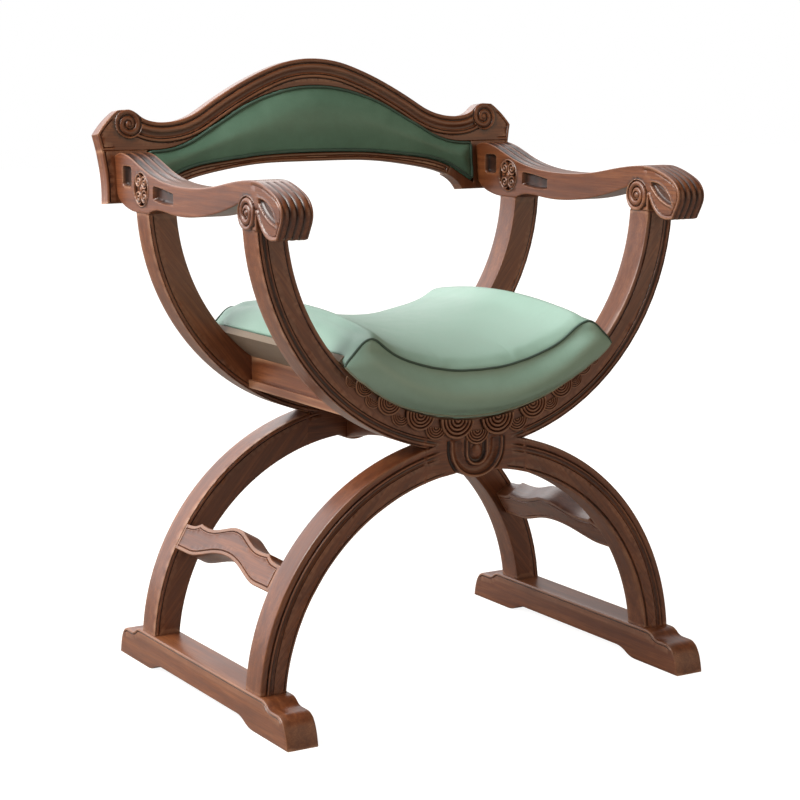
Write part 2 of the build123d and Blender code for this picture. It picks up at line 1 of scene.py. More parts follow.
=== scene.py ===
"""Savonarola armchair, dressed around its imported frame.

Every size is in metres in the chair's own frame: -Y is the front, +X the right-hand arm seen from the
front, +Z up. The wood is carved and moulded here, and the leather is puffed by a cloth simulation. Each of
these pieces replaces the plain solid that it stands for. The scallops and the welts are added to them, and
the board, the tenons and the dowels keep their solids and take a finish.
"""

from __future__ import annotations

import logging
import math
from dataclasses import dataclass, field
from enum import Enum
from typing import Callable, Iterable, Sequence

import bmesh
import bpy
import numpy as np
from mathutils import Matrix, Vector
from mathutils.bvhtree import BVHTree
from mathutils.geometry import delaunay_2d_cdt

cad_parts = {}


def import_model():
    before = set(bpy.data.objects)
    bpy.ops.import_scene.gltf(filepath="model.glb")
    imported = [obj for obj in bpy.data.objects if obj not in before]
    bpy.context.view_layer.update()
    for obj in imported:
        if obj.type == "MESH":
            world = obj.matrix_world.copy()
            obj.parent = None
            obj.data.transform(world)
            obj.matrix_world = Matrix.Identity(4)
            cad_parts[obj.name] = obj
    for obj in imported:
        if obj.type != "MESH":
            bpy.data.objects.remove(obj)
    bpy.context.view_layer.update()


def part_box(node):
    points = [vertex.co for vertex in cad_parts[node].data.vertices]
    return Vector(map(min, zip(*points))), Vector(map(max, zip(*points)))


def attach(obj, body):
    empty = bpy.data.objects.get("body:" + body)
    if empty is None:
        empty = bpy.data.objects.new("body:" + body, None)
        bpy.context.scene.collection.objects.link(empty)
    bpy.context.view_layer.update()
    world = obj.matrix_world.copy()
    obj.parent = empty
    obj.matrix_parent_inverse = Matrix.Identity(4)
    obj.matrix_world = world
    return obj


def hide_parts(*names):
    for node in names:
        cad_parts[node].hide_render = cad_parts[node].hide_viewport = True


# Names of types, and the relief of a board's face from its places and their distances from the edge.
Array = np.ndarray
Material = bpy.types.Material
Piece = bpy.types.Object
Socket = bpy.types.NodeSocket
Pair = tuple[float, float]
Triple = tuple[float, float, float]
Height = Callable[[Array, Array], Array]

LOG = logging.getLogger("savonarola")
# The wax attribute darkens the wood in its hollows: partly dark polish lodged in the carving, partly painted
# shade.
GRAIN, WAX_AND_SHADE = "grain", "wax"
FRAME_WOOD = "frame_wood"
MM = 0.001
TURN = 2.0 * math.pi
# Value of the darkening attribute that marks joints, where neither wear nor the painted edge highlight goes,
# a level past any relief, and the gaps that are merged.
NO_WEAR_OR_HIGHLIGHT = -1.0
BEYOND = 9.0
CAD_WELD, PIECE_WELD = 1e-6, 2e-6
WHITE = (1.0, 1.0, 1.0, 1.0)


# ---- Small mathematics ----


def smooth_step(value: Array, low: float, high: float) -> Array:
    """Ease a value from 0 at a low limit to 1 at a high limit."""
    share = np.clip((value - low) / (high - low), 0.0, 1.0)
    return share * share * (3.0 - 2.0 * share)


def dome(distance: Array, radius: float) -> Array:
    """Height of a half-round of unit height at distances from its middle."""
    return np.sqrt(np.maximum(1.0 - (distance / radius) ** 2, 0.0))


def spiral(radius: Array, angle: Array, pitch: float) -> Array:
    """Share of the way from one turn of a spiral to the next."""
    return (radius / pitch - angle / TURN) % 1.0


def spiral_ridge(share: Array, gap: float, base: float, rise: float, quirk: float) -> Array:
    """Heights of a carved spiral's ridge, with a quirk over the first part of each gap."""
    ridge = base + rise * np.sin(math.pi * np.clip((share - gap) / (1.0 - gap), 0.0, 1.0)) ** 0.6
    return np.where(share < gap, quirk, ridge)


def bezier(points: Sequence[Pair], count: int) -> Array:
    """Sample a cubic Bezier curve.

    Args:
        points: Its four control points.
        count: Number of samples.

    Returns:
        Samples, one row each.
    """
    share = np.linspace(0.0, 1.0, count)[:, None]
    a, b, c, d = (np.array(point) for point in points)
    rest = 1.0 - share
    return rest**3 * a + 3 * rest**2 * share * b + 3 * rest * share**2 * c + share**3 * d


def distance_to(points: Array, line: Array) -> Array:
    """Distance of each point from a polyline.

    Args:
        points: Points, one row each.
        line: Corners of the polyline, closed if its ends are the same.

    Returns:
        One distance for each point.
    """
    start, step = line[:-1], np.diff(line, axis=0)
    length = np.maximum((step**2).sum(1), 1e-18)
    found = np.empty(len(points))
    for first in range(0, len(points), 4000):
        part = points[first : first + 4000, None, :] - start[None]
        share = np.clip((part * step).sum(2) / length, 0.0, 1.0)
        found[first : first + 4000] = np.sqrt(((part - share[..., None] * step) ** 2).sum(2).min(1))
    return found


def inside(points: Array, loop: Array) -> Array:
    """Tell which points lie inside a closed loop.

    Args:
        points: Points, one row each.
        loop: Corners of the loop, with the first repeated at the end.

    Returns:
        One truth value for each point.
    """
    within = np.zeros(len(points), bool)
    for (x0, y0), (x1, y1) in zip(loop[:-1], loop[1:]):
        if y0 == y1:
            continue
        crosses = (y0 > points[:, 1]) != (y1 > points[:, 1])
        within ^= crosses & (points[:, 0] < x0 + (points[:, 1] - y0) * (x1 - x0) / (y1 - y0))
    return within


def turns_of(ring: Array) -> Array:
    """Turn at each corner of a closed ring.

    Args:
        ring: Its corners, with the first not repeated.

    Returns:
        Turns in degrees, to the left above 0.
    """
    step = np.roll(ring, -1, 0) - ring
    before = np.roll(step, 1, 0)
    cross = before[:, 0] * step[:, 1] - before[:, 1] * step[:, 0]
    return np.degrees(np.arctan2(cross, (before * step).sum(1)))


def resample(line: Array, spacing: float, corner: float = 24.0, closed: bool = True) -> Array:
    """Space points evenly along a line, rounding its facets but not its corners.

    Args:
        line: Corners of the line. A closed one repeats its first at the end.
        spacing: Distance between the new points.
        corner: Turn in degrees from which a corner stays sharp.
        closed: Whether the line is a loop.

    Returns:
        The new points. A loop repeats its first at the end.
    """
    points = line[:-1] if closed else line
    turn = turns_of(points)
    sharp = [i for i in range(len(points)) if abs(turn[i]) > corner]
    if closed:
        sharp = sharp or [0]
        points = np.roll(points, -sharp[0], 0)
        sharp = [i - sharp[0] for i in sharp] + [len(points)]
        points = np.vstack([points, points[:1]])
    else:
        sharp = [0] + [i for i in sharp if 0 < i < len(points) - 1] + [len(points) - 1]
    parts = []
    for first, last in zip(sharp[:-1], sharp[1:]):
        stretch = points[first : last + 1]
        lengths = np.linalg.norm(np.diff(stretch, axis=0), axis=1)
        along = np.concatenate([[0.0], np.cumsum(lengths)])
        count = max(int(round(along[-1] / spacing)), 1)
        wanted = np.linspace(0.0, along[-1], count + 1)
        parts.append(hermite(stretch, along, wanted)[:-1])
    return np.vstack(parts + [points[-1:]])


def hermite(points: Array, along: Array, wanted: Array) -> Array:
    """Pass a smooth curve through points and sample it.

    Args:
        points: Points on the curve.
        along: Distance of each point along it.
        wanted: Distances of the samples.

    Returns:
        Samples, one row each.
    """
    if len(points) < 3:
        share = (wanted / along[-1])[:, None]
        return points[0] * (1 - share) + points[-1] * share
    lengths = np.diff(along)
    way = np.diff(points, axis=0) / lengths[:, None]
    ratio = lengths[1:] / lengths[:-1]
    onward = np.where(ratio < 0.4, 0.0, lengths[:-1] / (lengths[:-1] + lengths[1:]))
    onward = np.where(ratio > 2.5, 1.0, onward)
    slope = onward[:, None] * way[1:] + (1.0 - onward)[:, None] * way[:-1]
    slope = np.vstack([2.0 * way[0] - slope[0], slope, 2.0 * way[-1] - slope[-1]])
    index = np.clip(np.searchsorted(along, wanted, side="right") - 1, 0, len(points) - 2)
    gap = (along[index + 1] - along[index])[:, None]
    t = ((wanted - along[index]) / gap[:, 0])[:, None]
    return (
        (2 * t**3 - 3 * t**2 + 1) * points[index]
        + (t**3 - 2 * t**2 + t) * gap * slope[index]
        + (-2 * t**3 + 3 * t**2) * points[index + 1]
        + (t**3 - t**2) * gap * slope[index + 1]
    )


def normals_of(line: Array) -> Array:
    """Right-hand normal of a line at each of its points.

    Args:
        line: Points of the line.

    Returns:
        Unit normals, one row each.
    """
    if np.allclose(line[0], line[-1]):
        step = np.roll(line[:-1], -1, 0) - np.roll(line[:-1], 1, 0)
        step = np.vstack([step, step[:1]])
    else:
        step = np.gradient(line, axis=0)
    step /= np.maximum(np.linalg.norm(step, axis=1, keepdims=True), 1e-12)
    return np.stack([step[:, 1], -step[:, 0]], axis=1)


# ---- Mouldings ----


class Cut(Enum):
    """Shape of one member of a moulding."""

    FLAT = "flat"
    BEAD = "bead"
    HOLLOW = "hollow"


@dataclass(frozen=True)
class Member:
    """One strip of a moulding.

    Attributes:
        cut: Its shape.
        width: Its width.
        rise: How far a bead stands up or a hollow goes down.
        base: Level of its edges against the face.
    """

    cut: Cut
    width: float
    rise: float = 0.0
    base: float = 0.0

    def level(self, share: Array) -> Array:
        """Height above the face.

        Args:
            share: Shares of the strip's width.

        Returns:
            One height for each share.
        """
        if self.cut is Cut.BEAD:
            return self.base + self.rise * dome(2.0 * share - 1.0, 1.0)
        if self.cut is Cut.HOLLOW:
            return self.base - self.rise * np.sin(math.pi * share)
        return np.full_like(share, self.base)


def fillet(width: float) -> Member:
    """Flat member, with its width in millimetres."""
    return Member(Cut.FLAT, width * MM)


def astragal(width: float, rise: float, base: float = 0.0) -> Member:
    """Half-round member, with its sizes in millimetres."""
    return Member(Cut.BEAD, width * MM, rise * MM, base * MM)


def cove(width: float, depth: float, base: float = 0.0) -> Member:
    """Hollow member, with its sizes in millimetres."""
    return Member(Cut.HOLLOW, width * MM, depth * MM, base * MM)


@dataclass(frozen=True)
class Moulding:
    """Row of members.

    Attributes:
        members: The members, counted in from the edge.
    """

    members: tuple[Member, ...]

    def height(self, distance: Array) -> Array:
        """Height above the face at distances from the edge.

        Args:
            distance: Distances from the edge.

        Returns:
            Heights, 0 past the last member.
        """
        level = np.zeros_like(distance)
        start = 0.0
        for member in self.members:
            share = (distance - start) / member.width
            within = (share >= 0.0) & (share < 1.0)
            level[within] = member.level(share[within])
            start += member.width
        return level

    def stations(self, per_member: int = 6) -> Array:
        """Distances from the edge where the mesh needs a line of points.

        Args:
            per_member: Steps across a bead or a hollow.

        Returns:
            The distances, in order.
        """
        start, found = 0.0, [0.0]
        for member in self.members:
            width, count = member.width, 1 if member.cut is Cut.FLAT else per_member
            found += [start + width * (1 - math.cos(math.pi * i / count)) / 2 for i in range(1, count)]
            found += [start + width - 1e-5, start + width + 1e-5]
            start += width
        return np.array(sorted(found))


# ---- Meshes ----


@dataclass
class Surface:
    """Mesh under construction.

    Attributes:
        points: Points of its patches.
        faces: Its faces, as indices into all its points.
        grain: Grain coordinates of its patches.
        wax: Darkening of its patches, partly dark polish in the carving and partly painted shade.
        count: Number of its points.
    """

    points: list[Array] = field(default_factory=list)
    faces: list[tuple[int, ...]] = field(default_factory=list)
    grain: list[Array] = field(default_factory=list)
    wax: list[Array] = field(default_factory=list)
    count: int = 0

    def add(self, points: Array, faces: Iterable[Sequence[int]], grain: Array,
            wax: Array | float = 0.0) -> int:
        """Add a patch.

        Args:
            points: Its points, one row each.
            faces: Its faces, as indices into those points.
            grain: Its grain coordinates, one row for each point.
            wax: Darkening at each point, from 0 to 1: partly dark polish, partly painted shade.

        Returns:
            Index of the patch's first point.
        """
        first = self.count
        self.points.append(points)
        self.faces += [tuple(int(i) + first for i in face) for face in faces]
        self.grain.append(grain)
        self.wax.append(np.broadcast_to(np.asarray(wax, float), (len(points),)))
        self.count += len(points)
        return first

    def to_object(self, name: str, material: Material, crease: float = 40.0) -> Piece:
        """Close the patches into one object.

        Args:
            name: Name of the object.
            material: Its finish.
            crease: Angle in degrees from which an edge is sharp.

        Returns:
            The object, linked into the scene.
        """
        mesh = bpy.data.meshes.new(name)
        mesh.from_pydata(np.vstack(self.points).tolist(), [], self.faces)
        grain = mesh.attributes.new(GRAIN, "FLOAT_VECTOR", "POINT")
        grain.data.foreach_set("vector", np.vstack(self.grain).astype(np.float32).ravel())
        wax = mesh.attributes.new(WAX_AND_SHADE, "FLOAT", "POINT")
        wax.data.foreach_set("value", np.concatenate(self.wax).astype(np.float32))
        return finish_mesh(mesh, name, material, crease)


def finish_mesh(mesh: bpy.types.Mesh, name: str, material: Material,
                crease: float = 40.0) -> Piece:
    """Merge a mesh's doubles, turn its faces outwards and make it an object.

    Args:
        mesh: The mesh.
        name: Name of the object.
        material: Its finish.
        crease: Angle in degrees from which an edge is sharp.

    Returns:
        The object, linked into the scene.
    """
    work = bmesh.new()
    work.from_mesh(mesh)
    bmesh.ops.remove_doubles(work, verts=work.verts, dist=PIECE_WELD)
    bmesh.ops.recalc_face_normals(work, faces=work.faces)
    work.to_mesh(mesh)
    work.free()
    mesh.materials.clear()
    mesh.materials.append(material)
    mesh.polygons.foreach_set("use_smooth", np.ones(len(mesh.polygons), bool))
    mesh.set_sharp_from_angle(angle=math.radians(crease))
    return linked(name, mesh)


def linked(name: str, data: bpy.types.ID) -> Piece:
    """Make an object and link it into the scene.

    Args:
        name: Name of the object.
        data: Its mesh, curve, lamp or camera.

    Returns:
        The object.
    """
    made = bpy.data.objects.new(name, data)
    bpy.context.scene.collection.objects.link(made)
    return made


def mirrored(piece: Piece, name: str) -> Piece:
    """Copy a piece to the other side of the chair's middle plane.

    Args:
        piece: The piece.
        name: Name of the copy.

    Returns:
        The copy, with its faces outwards.
    """
    mesh = piece.data.copy()
    mesh.name = name
    mesh.transform(Matrix.Scale(-1.0, 4, Vector((1.0, 0.0, 0.0))))
    mesh.flip_normals()
    return linked(name, mesh)


def settle(piece: Piece, slot: str, *nodes: str) -> Piece:
    """Ride a piece on the chair and let it stand for its CAD nodes.

    Args:
        piece: The piece.
        slot: The record's material slot of the piece; not used.
        nodes: Nodes that it stands for.

    Returns:
        The same piece.
    """
    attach(piece, "root")
    if nodes:
        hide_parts(*nodes)
    LOG.info("%s: %d faces", piece.name, len(piece.data.polygons))
    return piece


def settle_both(right: Piece, node: str) -> None:
    """Mirror a right-hand piece of wood and settle it and its mirror image.

    Args:
        right: The piece, with right in its name.
        node: The right-hand node that it stands for.
    """
    left = mirrored(right, right.name.replace("right", "left"))
    settle(right, FRAME_WOOD, node)
    settle(left, FRAME_WOOD, node.replace("right", "left"))


def grid_faces(rows: int, columns: int) -> list[tuple[int, int, int, int]]:
    """Quads of a grid of points stored row by row."""
    corners = [i * columns + j for i in range(rows - 1) for j in range(columns - 1)]
    return [(a, a + 1, a + columns + 1, a + columns) for a in corners]


def merged(node: str, into: Matrix | None = None) -> bmesh.types.BMesh:
    """Copy a CAD node's mesh and join its loose triangles.

    Args:
        node: Name of the node.
        into: Matrix that the copy is moved by.

    Returns:
        The copy, to be freed after use.
    """
    work = bmesh.new()
    work.from_mesh(bpy.data.objects[node].data)
    if into is not None:
        work.transform(into)
    bmesh.ops.remove_doubles(work, verts=work.verts, dist=CAD_WELD)
    return work


def face_outline(node: str, normal: Vector, place: Matrix) -> Array:
    """Outline of a node's largest flat face that looks one way.

    Args:
        node: Name of the CAD node.
        normal: Direction that the face looks in.
        place: Matrix from the board's own coordinates to the chair's.

    Returns:
        The loop in the board's first two coordinates, anticlockwise, its first point repeated.
    """
    work = merged(node)
    planes: dict[int, list[bmesh.types.BMFace]] = {}
    for one in work.faces:
        if one.normal.dot(normal) > 0.9995:
            level = round(one.calc_center_median().dot(normal) / (0.2 * MM))
            planes.setdefault(level, []).append(one)
    chosen = set(max(planes.values(), key=lambda found: sum(one.calc_area() for one in found)))
    rims = [edge for edge in {edge for one in chosen for edge in one.edges}
            if sum(one in chosen for one in edge.link_faces) == 1]
    loop = widest_loop(work, rims, place.inverted())
    work.free()
    return loop


def section_outline(node: str, place: Matrix, level: float) -> Array:
    """Outline of a node where a plane cuts it.

    Args:
        node: Name of the CAD node.
        place: Matrix from the board's own coordinates to the chair's.
        level: Level of the plane along the board's third axis.

    Returns:
        The loop in the board's first two coordinates, anticlockwise, its first point repeated.
    """
    work = merged(node, place.inverted())
    cut = bmesh.ops.bisect_plane(work, geom=work.verts[:] + work.edges[:] + work.faces[:], dist=CAD_WELD,
                                 plane_co=(0.0, 0.0, level), plane_no=(0.0, 0.0, 1.0))["geom_cut"]
    work.verts.index_update()
    rims = [edge for edge in cut if isinstance(edge, bmesh.types.BMEdge)]
    loop = widest_loop(work, rims, Matrix.Identity(4))
    work.free()
    return loop


def widest_loop(work: bmesh.types.BMesh, edges: Sequence[bmesh.types.BMEdge], turn: Matrix) -> Array:
    """Join edges into loops and pick the widest.

    Args:
        work: The mesh.
        edges: Its edges that make the loops.
        turn: Matrix into the board's own coordinates.

    Returns:
        The loop in the first two coordinates, anticlockwise, its first point repeated.
    """
    work.verts.ensure_lookup_table()
    links: dict[int, list[int]] = {}
    for edge in edges:
        a, b = (vertex.index for vertex in edge.verts)
        links.setdefault(a, []).append(b)
        links.setdefault(b, []).append(a)
    flat = []
    while links:
        start = next(iter(links))
        loop, here = [start], start
        while links.get(here):
            step = links[here].pop()
            links[step].remove(here)
            loop.append(step)
            here = step
            if here == start:
                break
        links = {key: value for key, value in links.items() if value}
        flat.append(np.array([(turn @ work.verts[i].co)[:2] for i in loop]))
    areas = [float(np.sum(f[:-1, 0] * f[1:, 1] - f[1:, 0] * f[:-1, 1])) for f in flat]
    best = int(np.argmax(np.abs(areas)))
    return without_straights(flat[best] if areas[best] > 0 else flat[best][::-1])


def without_straights(loop: Array, least: float = 0.1) -> Array:
    """Leave out a loop's points where it hardly turns.

    Args:
        loop: The loop, its first point repeated.
        least: Smallest turn in degrees that counts.

    Returns:
        The loop of the other points, its first point repeated.
    """
    ring = loop[:-1]
    ring = ring[np.abs(turns_of(ring)) > least]
    return np.vstack([ring, ring[:1]])


# ---- Finishes ----


class TreeWriter:
    """Short way to write a node tree."""

    def __init__(self, tree: bpy.types.NodeTree, prefix: str = "") -> None:
        """Write into a tree whose nodes' types all start with a prefix."""
        self.tree, self.prefix = tree, prefix

    def new(self, kind: str, **settings: object) -> bpy.types.Node:
        """Add a node and set its properties.

        Args:
            kind: Its type without the prefix.
            settings: Properties to set.

        Returns:
            The node.
        """
        node = self.tree.nodes.new(self.prefix + kind)
        for key, value in settings.items():
            setattr(node, key, value)
        return node

    def put(self, target: Socket, value: object) -> None:
        """Set a socket or link another into it.

        Args:
            target: The socket.
            value: The value or the other socket.
        """
        if isinstance(value, Socket):
            self.tree.links.new(value, target)
        else:
            target.default_value = value


class Nodes(TreeWriter):
    """Material with a Principled shader and the nodes before it."""

    def __init__(self, name: str) -> None:
        """Start a material.

        Args:
            name: Name of the material.
        """
        self.material = bpy.data.materials.new(name)
        self.material.use_nodes = True
        super().__init__(self.material.node_tree, "ShaderNode")
        self.shader = self.tree.nodes["Principled BSDF"]

    def attribute(self, name: str, output: str) -> Socket:
        """Output of one of the mesh's own attributes."""
        return self.new("Attribute", attribute_name=name).outputs[output]

    def placed(self, source: Socket, scale: Triple,
               turn: Triple = (0.0, 0.0, 0.0)) -> Socket:
        """Stretch coordinates.

        Args:
            source: The coordinates.
            scale: Factor along each axis.
            turn: Rotation in radians.

        Returns:
            The stretched coordinates.
        """
        mapping = self.new("Mapping")
        mapping.inputs["Scale"].default_value = scale
        mapping.inputs["Rotation"].default_value = turn
        self.put(mapping.inputs["Vector"], source)
        return mapping.outputs["Vector"]

    def noise(self, where: Socket, scale: float, detail: float = 4.0,
              rough: float = 0.5, distortion: float = 0.0) -> Socket:
        """Value of a noise pattern.

        Args:
            where: Its coordinates.
            scale: Its scale.
            detail: Its detail.
            rough: Its roughness.
            distortion: Its distortion.

        Returns:
            The value.
        """
        node = self.new("TexNoise")
        for key, value in (("Scale", scale), ("Detail", detail), ("Roughness", rough),
                           ("Distortion", distortion), ("Vector", where)):
            self.put(node.inputs[key], value)
        return node.outputs["Fac"]

    def ramp(self, source: Socket,
             stops: Sequence[tuple[float, Triple]]) -> Socket:
        """Colours along a value.

        Args:
            source: The value.
            stops: Places and linear colours.

        Returns:
            The colour.
        """
        node = self.new("ValToRGB")
        while len(node.color_ramp.elements) < len(stops):
            node.color_ramp.elements.new(0.5)
        for element, (place, colour) in zip(node.color_ramp.elements, stops):
            element.position = place
            element.color = (*colour, 1.0)
        self.put(node.inputs["Fac"], source)
        return node.outputs["Color"]

    def mix(self, share: Socket | float, first: Socket,
            second: Socket | Triple,
            blend: str = "MIX") -> Socket:
        """Blend two colours.

        Args:
            share: How much of the second.
            first: The first colour.
            second: The second colour.
            blend: Way of blending.

        Returns:
            The blend.
        """
        node = self.new("Mix", data_type="RGBA", blend_type=blend)
        self.put(node.inputs["Factor"], share)
        self.put(node.inputs[6], first)
        self.put(node.inputs[7], (*second, 1.0) if isinstance(second, tuple) else second)
        return node.outputs[2]

    def math(self, kind: str, first: Socket,
             second: Socket | float = 0.0) -> Socket:
        """Combine two values.

        Args:
            kind: The operation.
            first: The first value.
            second: The second value.

        Returns:
            The result.
        """
        node = self.new("Math", operation=kind)
        self.put(node.inputs[0], first)
        self.put(node.inputs[1], second)
        return node.outputs[0]

    def span(self, source: Socket, low: float, high: float, to_low: float = 0.0,
             to_high: float = 1.0) -> Socket:
        """Carry a value from one range to another.

        Args:
            source: The value.
            low: Start of its range.
            high: End of its range.
            to_low: Start of the new range.
            to_high: End of the new range.

        Returns:
            The new value.
        """
        node = self.new("MapRange")
        for key, value in (("From Min", low), ("From Max", high), ("To Min", to_low), ("To Max", to_high),
                           ("Value", source)):
            self.put(node.inputs[key], value)
        return node.outputs["Result"]

    def bump(self, heights: Sequence[tuple[Socket, float, float]]) -> None:
        """Stack bumps under the shader.

        Args:
            heights: Height, strength and distance of each.
        """
        below = None
        for height, strength, distance in heights:
            node = self.new("Bump")
            for key, value in (("Strength", strength), ("Distance", distance), ("Height", height)):
                self.put(node.inputs[key], value)
            if below:
                self.put(node.inputs["Normal"], below)
            below = node.outputs["Normal"]
        self.put(self.shader.inputs["Normal"], below)

    def finish(self, colour: object, roughness: object, others: dict[str, object]) -> None:
        """Set the shader's colour, roughness and other inputs to values or sockets."""
        for key, value in {"Base Color": colour, "Roughness": roughness, **others}.items():
            self.put(self.shader.inputs[key], value)


class Layout(Enum):
    """Where a wood's grain coordinates come from."""

    ALONG_X = (0.0, 0.0, 0.0)
    ALONG_Y = (0.0, 0.0, math.pi / 2)
    OWN = None


@dataclass(frozen=True)
class WoodFinish:
    """Waxed wood: long grain, pores, hollows darkened by dark polish and painted shade, and edges lightened
    by rubbing and a painted highlight.

    Attributes:
        name: Name of the material.
        dark: Colour of the late wood.
        middle: Colour between.
        light: Colour of the early wood.
        worn_and_highlight: Colour of edges lightened partly by rubbing and partly as a painted highlight
            along the arrises.
        wax: Colour of darkened hollows, partly dark polish and partly painted shade.
        roughness: Mean roughness.
        gloss: Strength of the polish.
        layout: Direction of the grain.
    """

    name: str
    dark: Triple = (0.08, 0.02, 0.005)
    middle: Triple = (0.165, 0.047, 0.014)
    light: Triple = (0.275, 0.095, 0.031)
    # Light colour of edges: rubbed wear, and a painted highlight along the arrises.
    worn_and_highlight: Triple = (0.55, 0.3, 0.17)
    # Dark colour in hollows: old dark polish, and painted shade.
    wax: Triple = (0.014, 0.0045, 0.0025)
    roughness: float = 0.4
    gloss: float = 0.35
    layout: Layout = Layout.OWN

    def material(self) -> Material:
        """Build the material.

        Returns:
            The material.
        """
        made = Nodes(self.name)
        where = made.new("TexCoord").outputs["Object"]
        grain = where if self.layout.value else made.attribute(GRAIN, "Vector")
        turn = self.layout.value or (0.0, 0.0, 0.0)
        wax = made.attribute(WAX_AND_SHADE, "Fac")
        figure = made.noise(made.placed(grain, (2.2, 26.0, 26.0), turn), 1.6, 5.0, 0.6, 0.9)
        streaks = made.noise(made.placed(grain, (5.0, 210.0, 210.0), turn), 1.0, 6.0, 0.65, 0.25)
        pores = made.noise(made.placed(grain, (26.0, 820.0, 820.0), turn), 1.0, 2.0, 0.5)
        patches = made.noise(where, 7.0, 3.0, 0.5)
        tone = made.math("ADD", made.math("MULTIPLY", figure, 0.55), made.math("MULTIPLY", streaks, 0.45))
        colour = made.ramp(tone, ((0.32, self.dark), (0.5, self.middle), (0.68, self.light)))
        shade = made.ramp(patches, ((0.3, (0.72, 0.7, 0.69)), (0.7, (1.0, 1.0, 1.0))))
        colour = made.mix(0.75, colour, shade, "MULTIPLY")
        colour = made.mix(made.math("MULTIPLY", made.span(pores, 0.5, 0.36), 0.5), colour, self.dark)
        # Convex edges are lightened: partly rubbed wear, partly a painted highlight along the arrises; joints
        # get none.
        edge = made.new("NewGeometry").outputs["Pointiness"]
        worn_and_highlight = made.math("MULTIPLY", made.span(edge, 0.515, 0.6), made.span(patches, 0.35, 0.6, 0.25, 0.8))
        worn_and_highlight = made.math("MULTIPLY", worn_and_highlight, made.span(wax, NO_WEAR_OR_HIGHLIGHT, 0.0))
        colour = made.mix(worn_and_highlight, colour, self.worn_and_highlight)
        # Hollows and concave creases are darkened: partly old polish, partly painted shade, made patchy by
        # noise.
        hollow = made.math("MAXIMUM", wax, made.span(edge, 0.485, 0.42))
        patchy_darkening = made.span(made.noise(where, 90.0), 0.25, 0.6, 0.65, 1.0)
        colour = made.mix(made.math("MULTIPLY", hollow, patchy_darkening), colour, self.wax)
        uneven = made.math("ADD", made.math("MULTIPLY", streaks, 0.16), made.math("MULTIPLY", patches, 0.2))
        rough = made.span(uneven, 0.1, 0.26, self.roughness - 0.08, self.roughness + 0.12)
        made.finish(colour, rough, {"Coat Weight": self.gloss, "Coat Roughness": 0.26})
        made.bump(((pores, 0.16, 0.0006), (streaks, 0.14, 0.0008), (made.noise(where, 38.0), 0.1, 0.002)))
        return made.material


@dataclass(frozen=True)
class LeatherFinish:
    """Dyed leather: fine pebble grain, faintly cloudy dye and rubbed high places.

    Attributes:
        name: Name of the material.
        deep: Colour of the dye where it is thick.
        dye: Colour of most of it.
        rubbed: Colour where it is rubbed thin.
        dimples: Strength of the uneven skin.
        roughness: Mean roughness.
    """

    name: str
    deep: Triple
    dye: Triple
    rubbed: Triple
    dimples: float = 0.12
    roughness: float = 0.42

    def material(self) -> Material:
        """Build the material.

        Returns:
            The material.
        """
        made = Nodes(self.name)
        where = made.new("TexCoord").outputs["Object"]
        clouds = made.noise(where, 4.2, 3.0, 0.45, 0.4)
        mottle = made.noise(where, 46.0, 4.0, 0.6)
        tone = made.math("ADD", made.math("MULTIPLY", clouds, 0.75), made.math("MULTIPLY", mottle, 0.25))
        colour = made.ramp(tone, ((0.3, self.deep), (0.5, self.dye), (0.7, self.rubbed)))
        cells = made.new("TexVoronoi", feature="DISTANCE_TO_EDGE")
        made.put(cells.inputs["Scale"], 700.0)
        made.put(cells.inputs["Vector"], where)
        pebble = made.span(cells.outputs["Distance"], 0.0, 0.16)
        colour = made.mix(made.math("MULTIPLY", made.span(pebble, 1.0, 0.0), 0.22), colour, self.deep)
        edge = made.new("NewGeometry").outputs["Pointiness"]
        colour = made.mix(made.math("MULTIPLY", made.span(edge, 0.505, 0.56), 0.4), colour, self.rubbed)
        rough = made.span(mottle, 0.3, 0.7, self.roughness - 0.05, self.roughness + 0.1)
        made.finish(colour, rough, {"Coat Weight": 0.1, "Coat Roughness": 0.4})
        made.bump(((pebble, 0.18, 0.0004), (mottle, self.dimples, 0.0012), (clouds, 0.2, 0.004)))
        return made.material


# ---- Carved boards ----


def hollows(height: Height, points: Array, distance: Array, depth: float = 0.5 * MM) -> Array:
    """Darkening where a relief is lower than what is round it: partly dark polish in the carving, partly
    painted shade.

    Args:
        height: The relief.
        points: Places on it.
        distance: Their distances from the board's edge.
        depth: Depth of hollow that is darkened fully.

    Returns:
        Darkening at each place, from 0 to 1.
    """
    here = height(points, distance)
    around = np.zeros(len(points))
    for turn in np.linspace(0.0, TURN, 8, endpoint=False):
        step = 1.6 * MM * np.array([math.cos(turn), math.sin(turn)])
        around += height(points + step, distance) / 8.0
    return np.clip((around - here) / depth, 0.0, 1.0) * smooth_step(distance, 1.0 * MM, 2.5 * MM)


@dataclass(frozen=True)
class Patch:
    """Round part of a board's face with finer points.

    Attributes:
        centre: Its middle.
        radius: Its radius.
        pitch: Spacing of its points.
    """

    centre: Pair
    radius: float
    pitch: float = 0.9 * MM


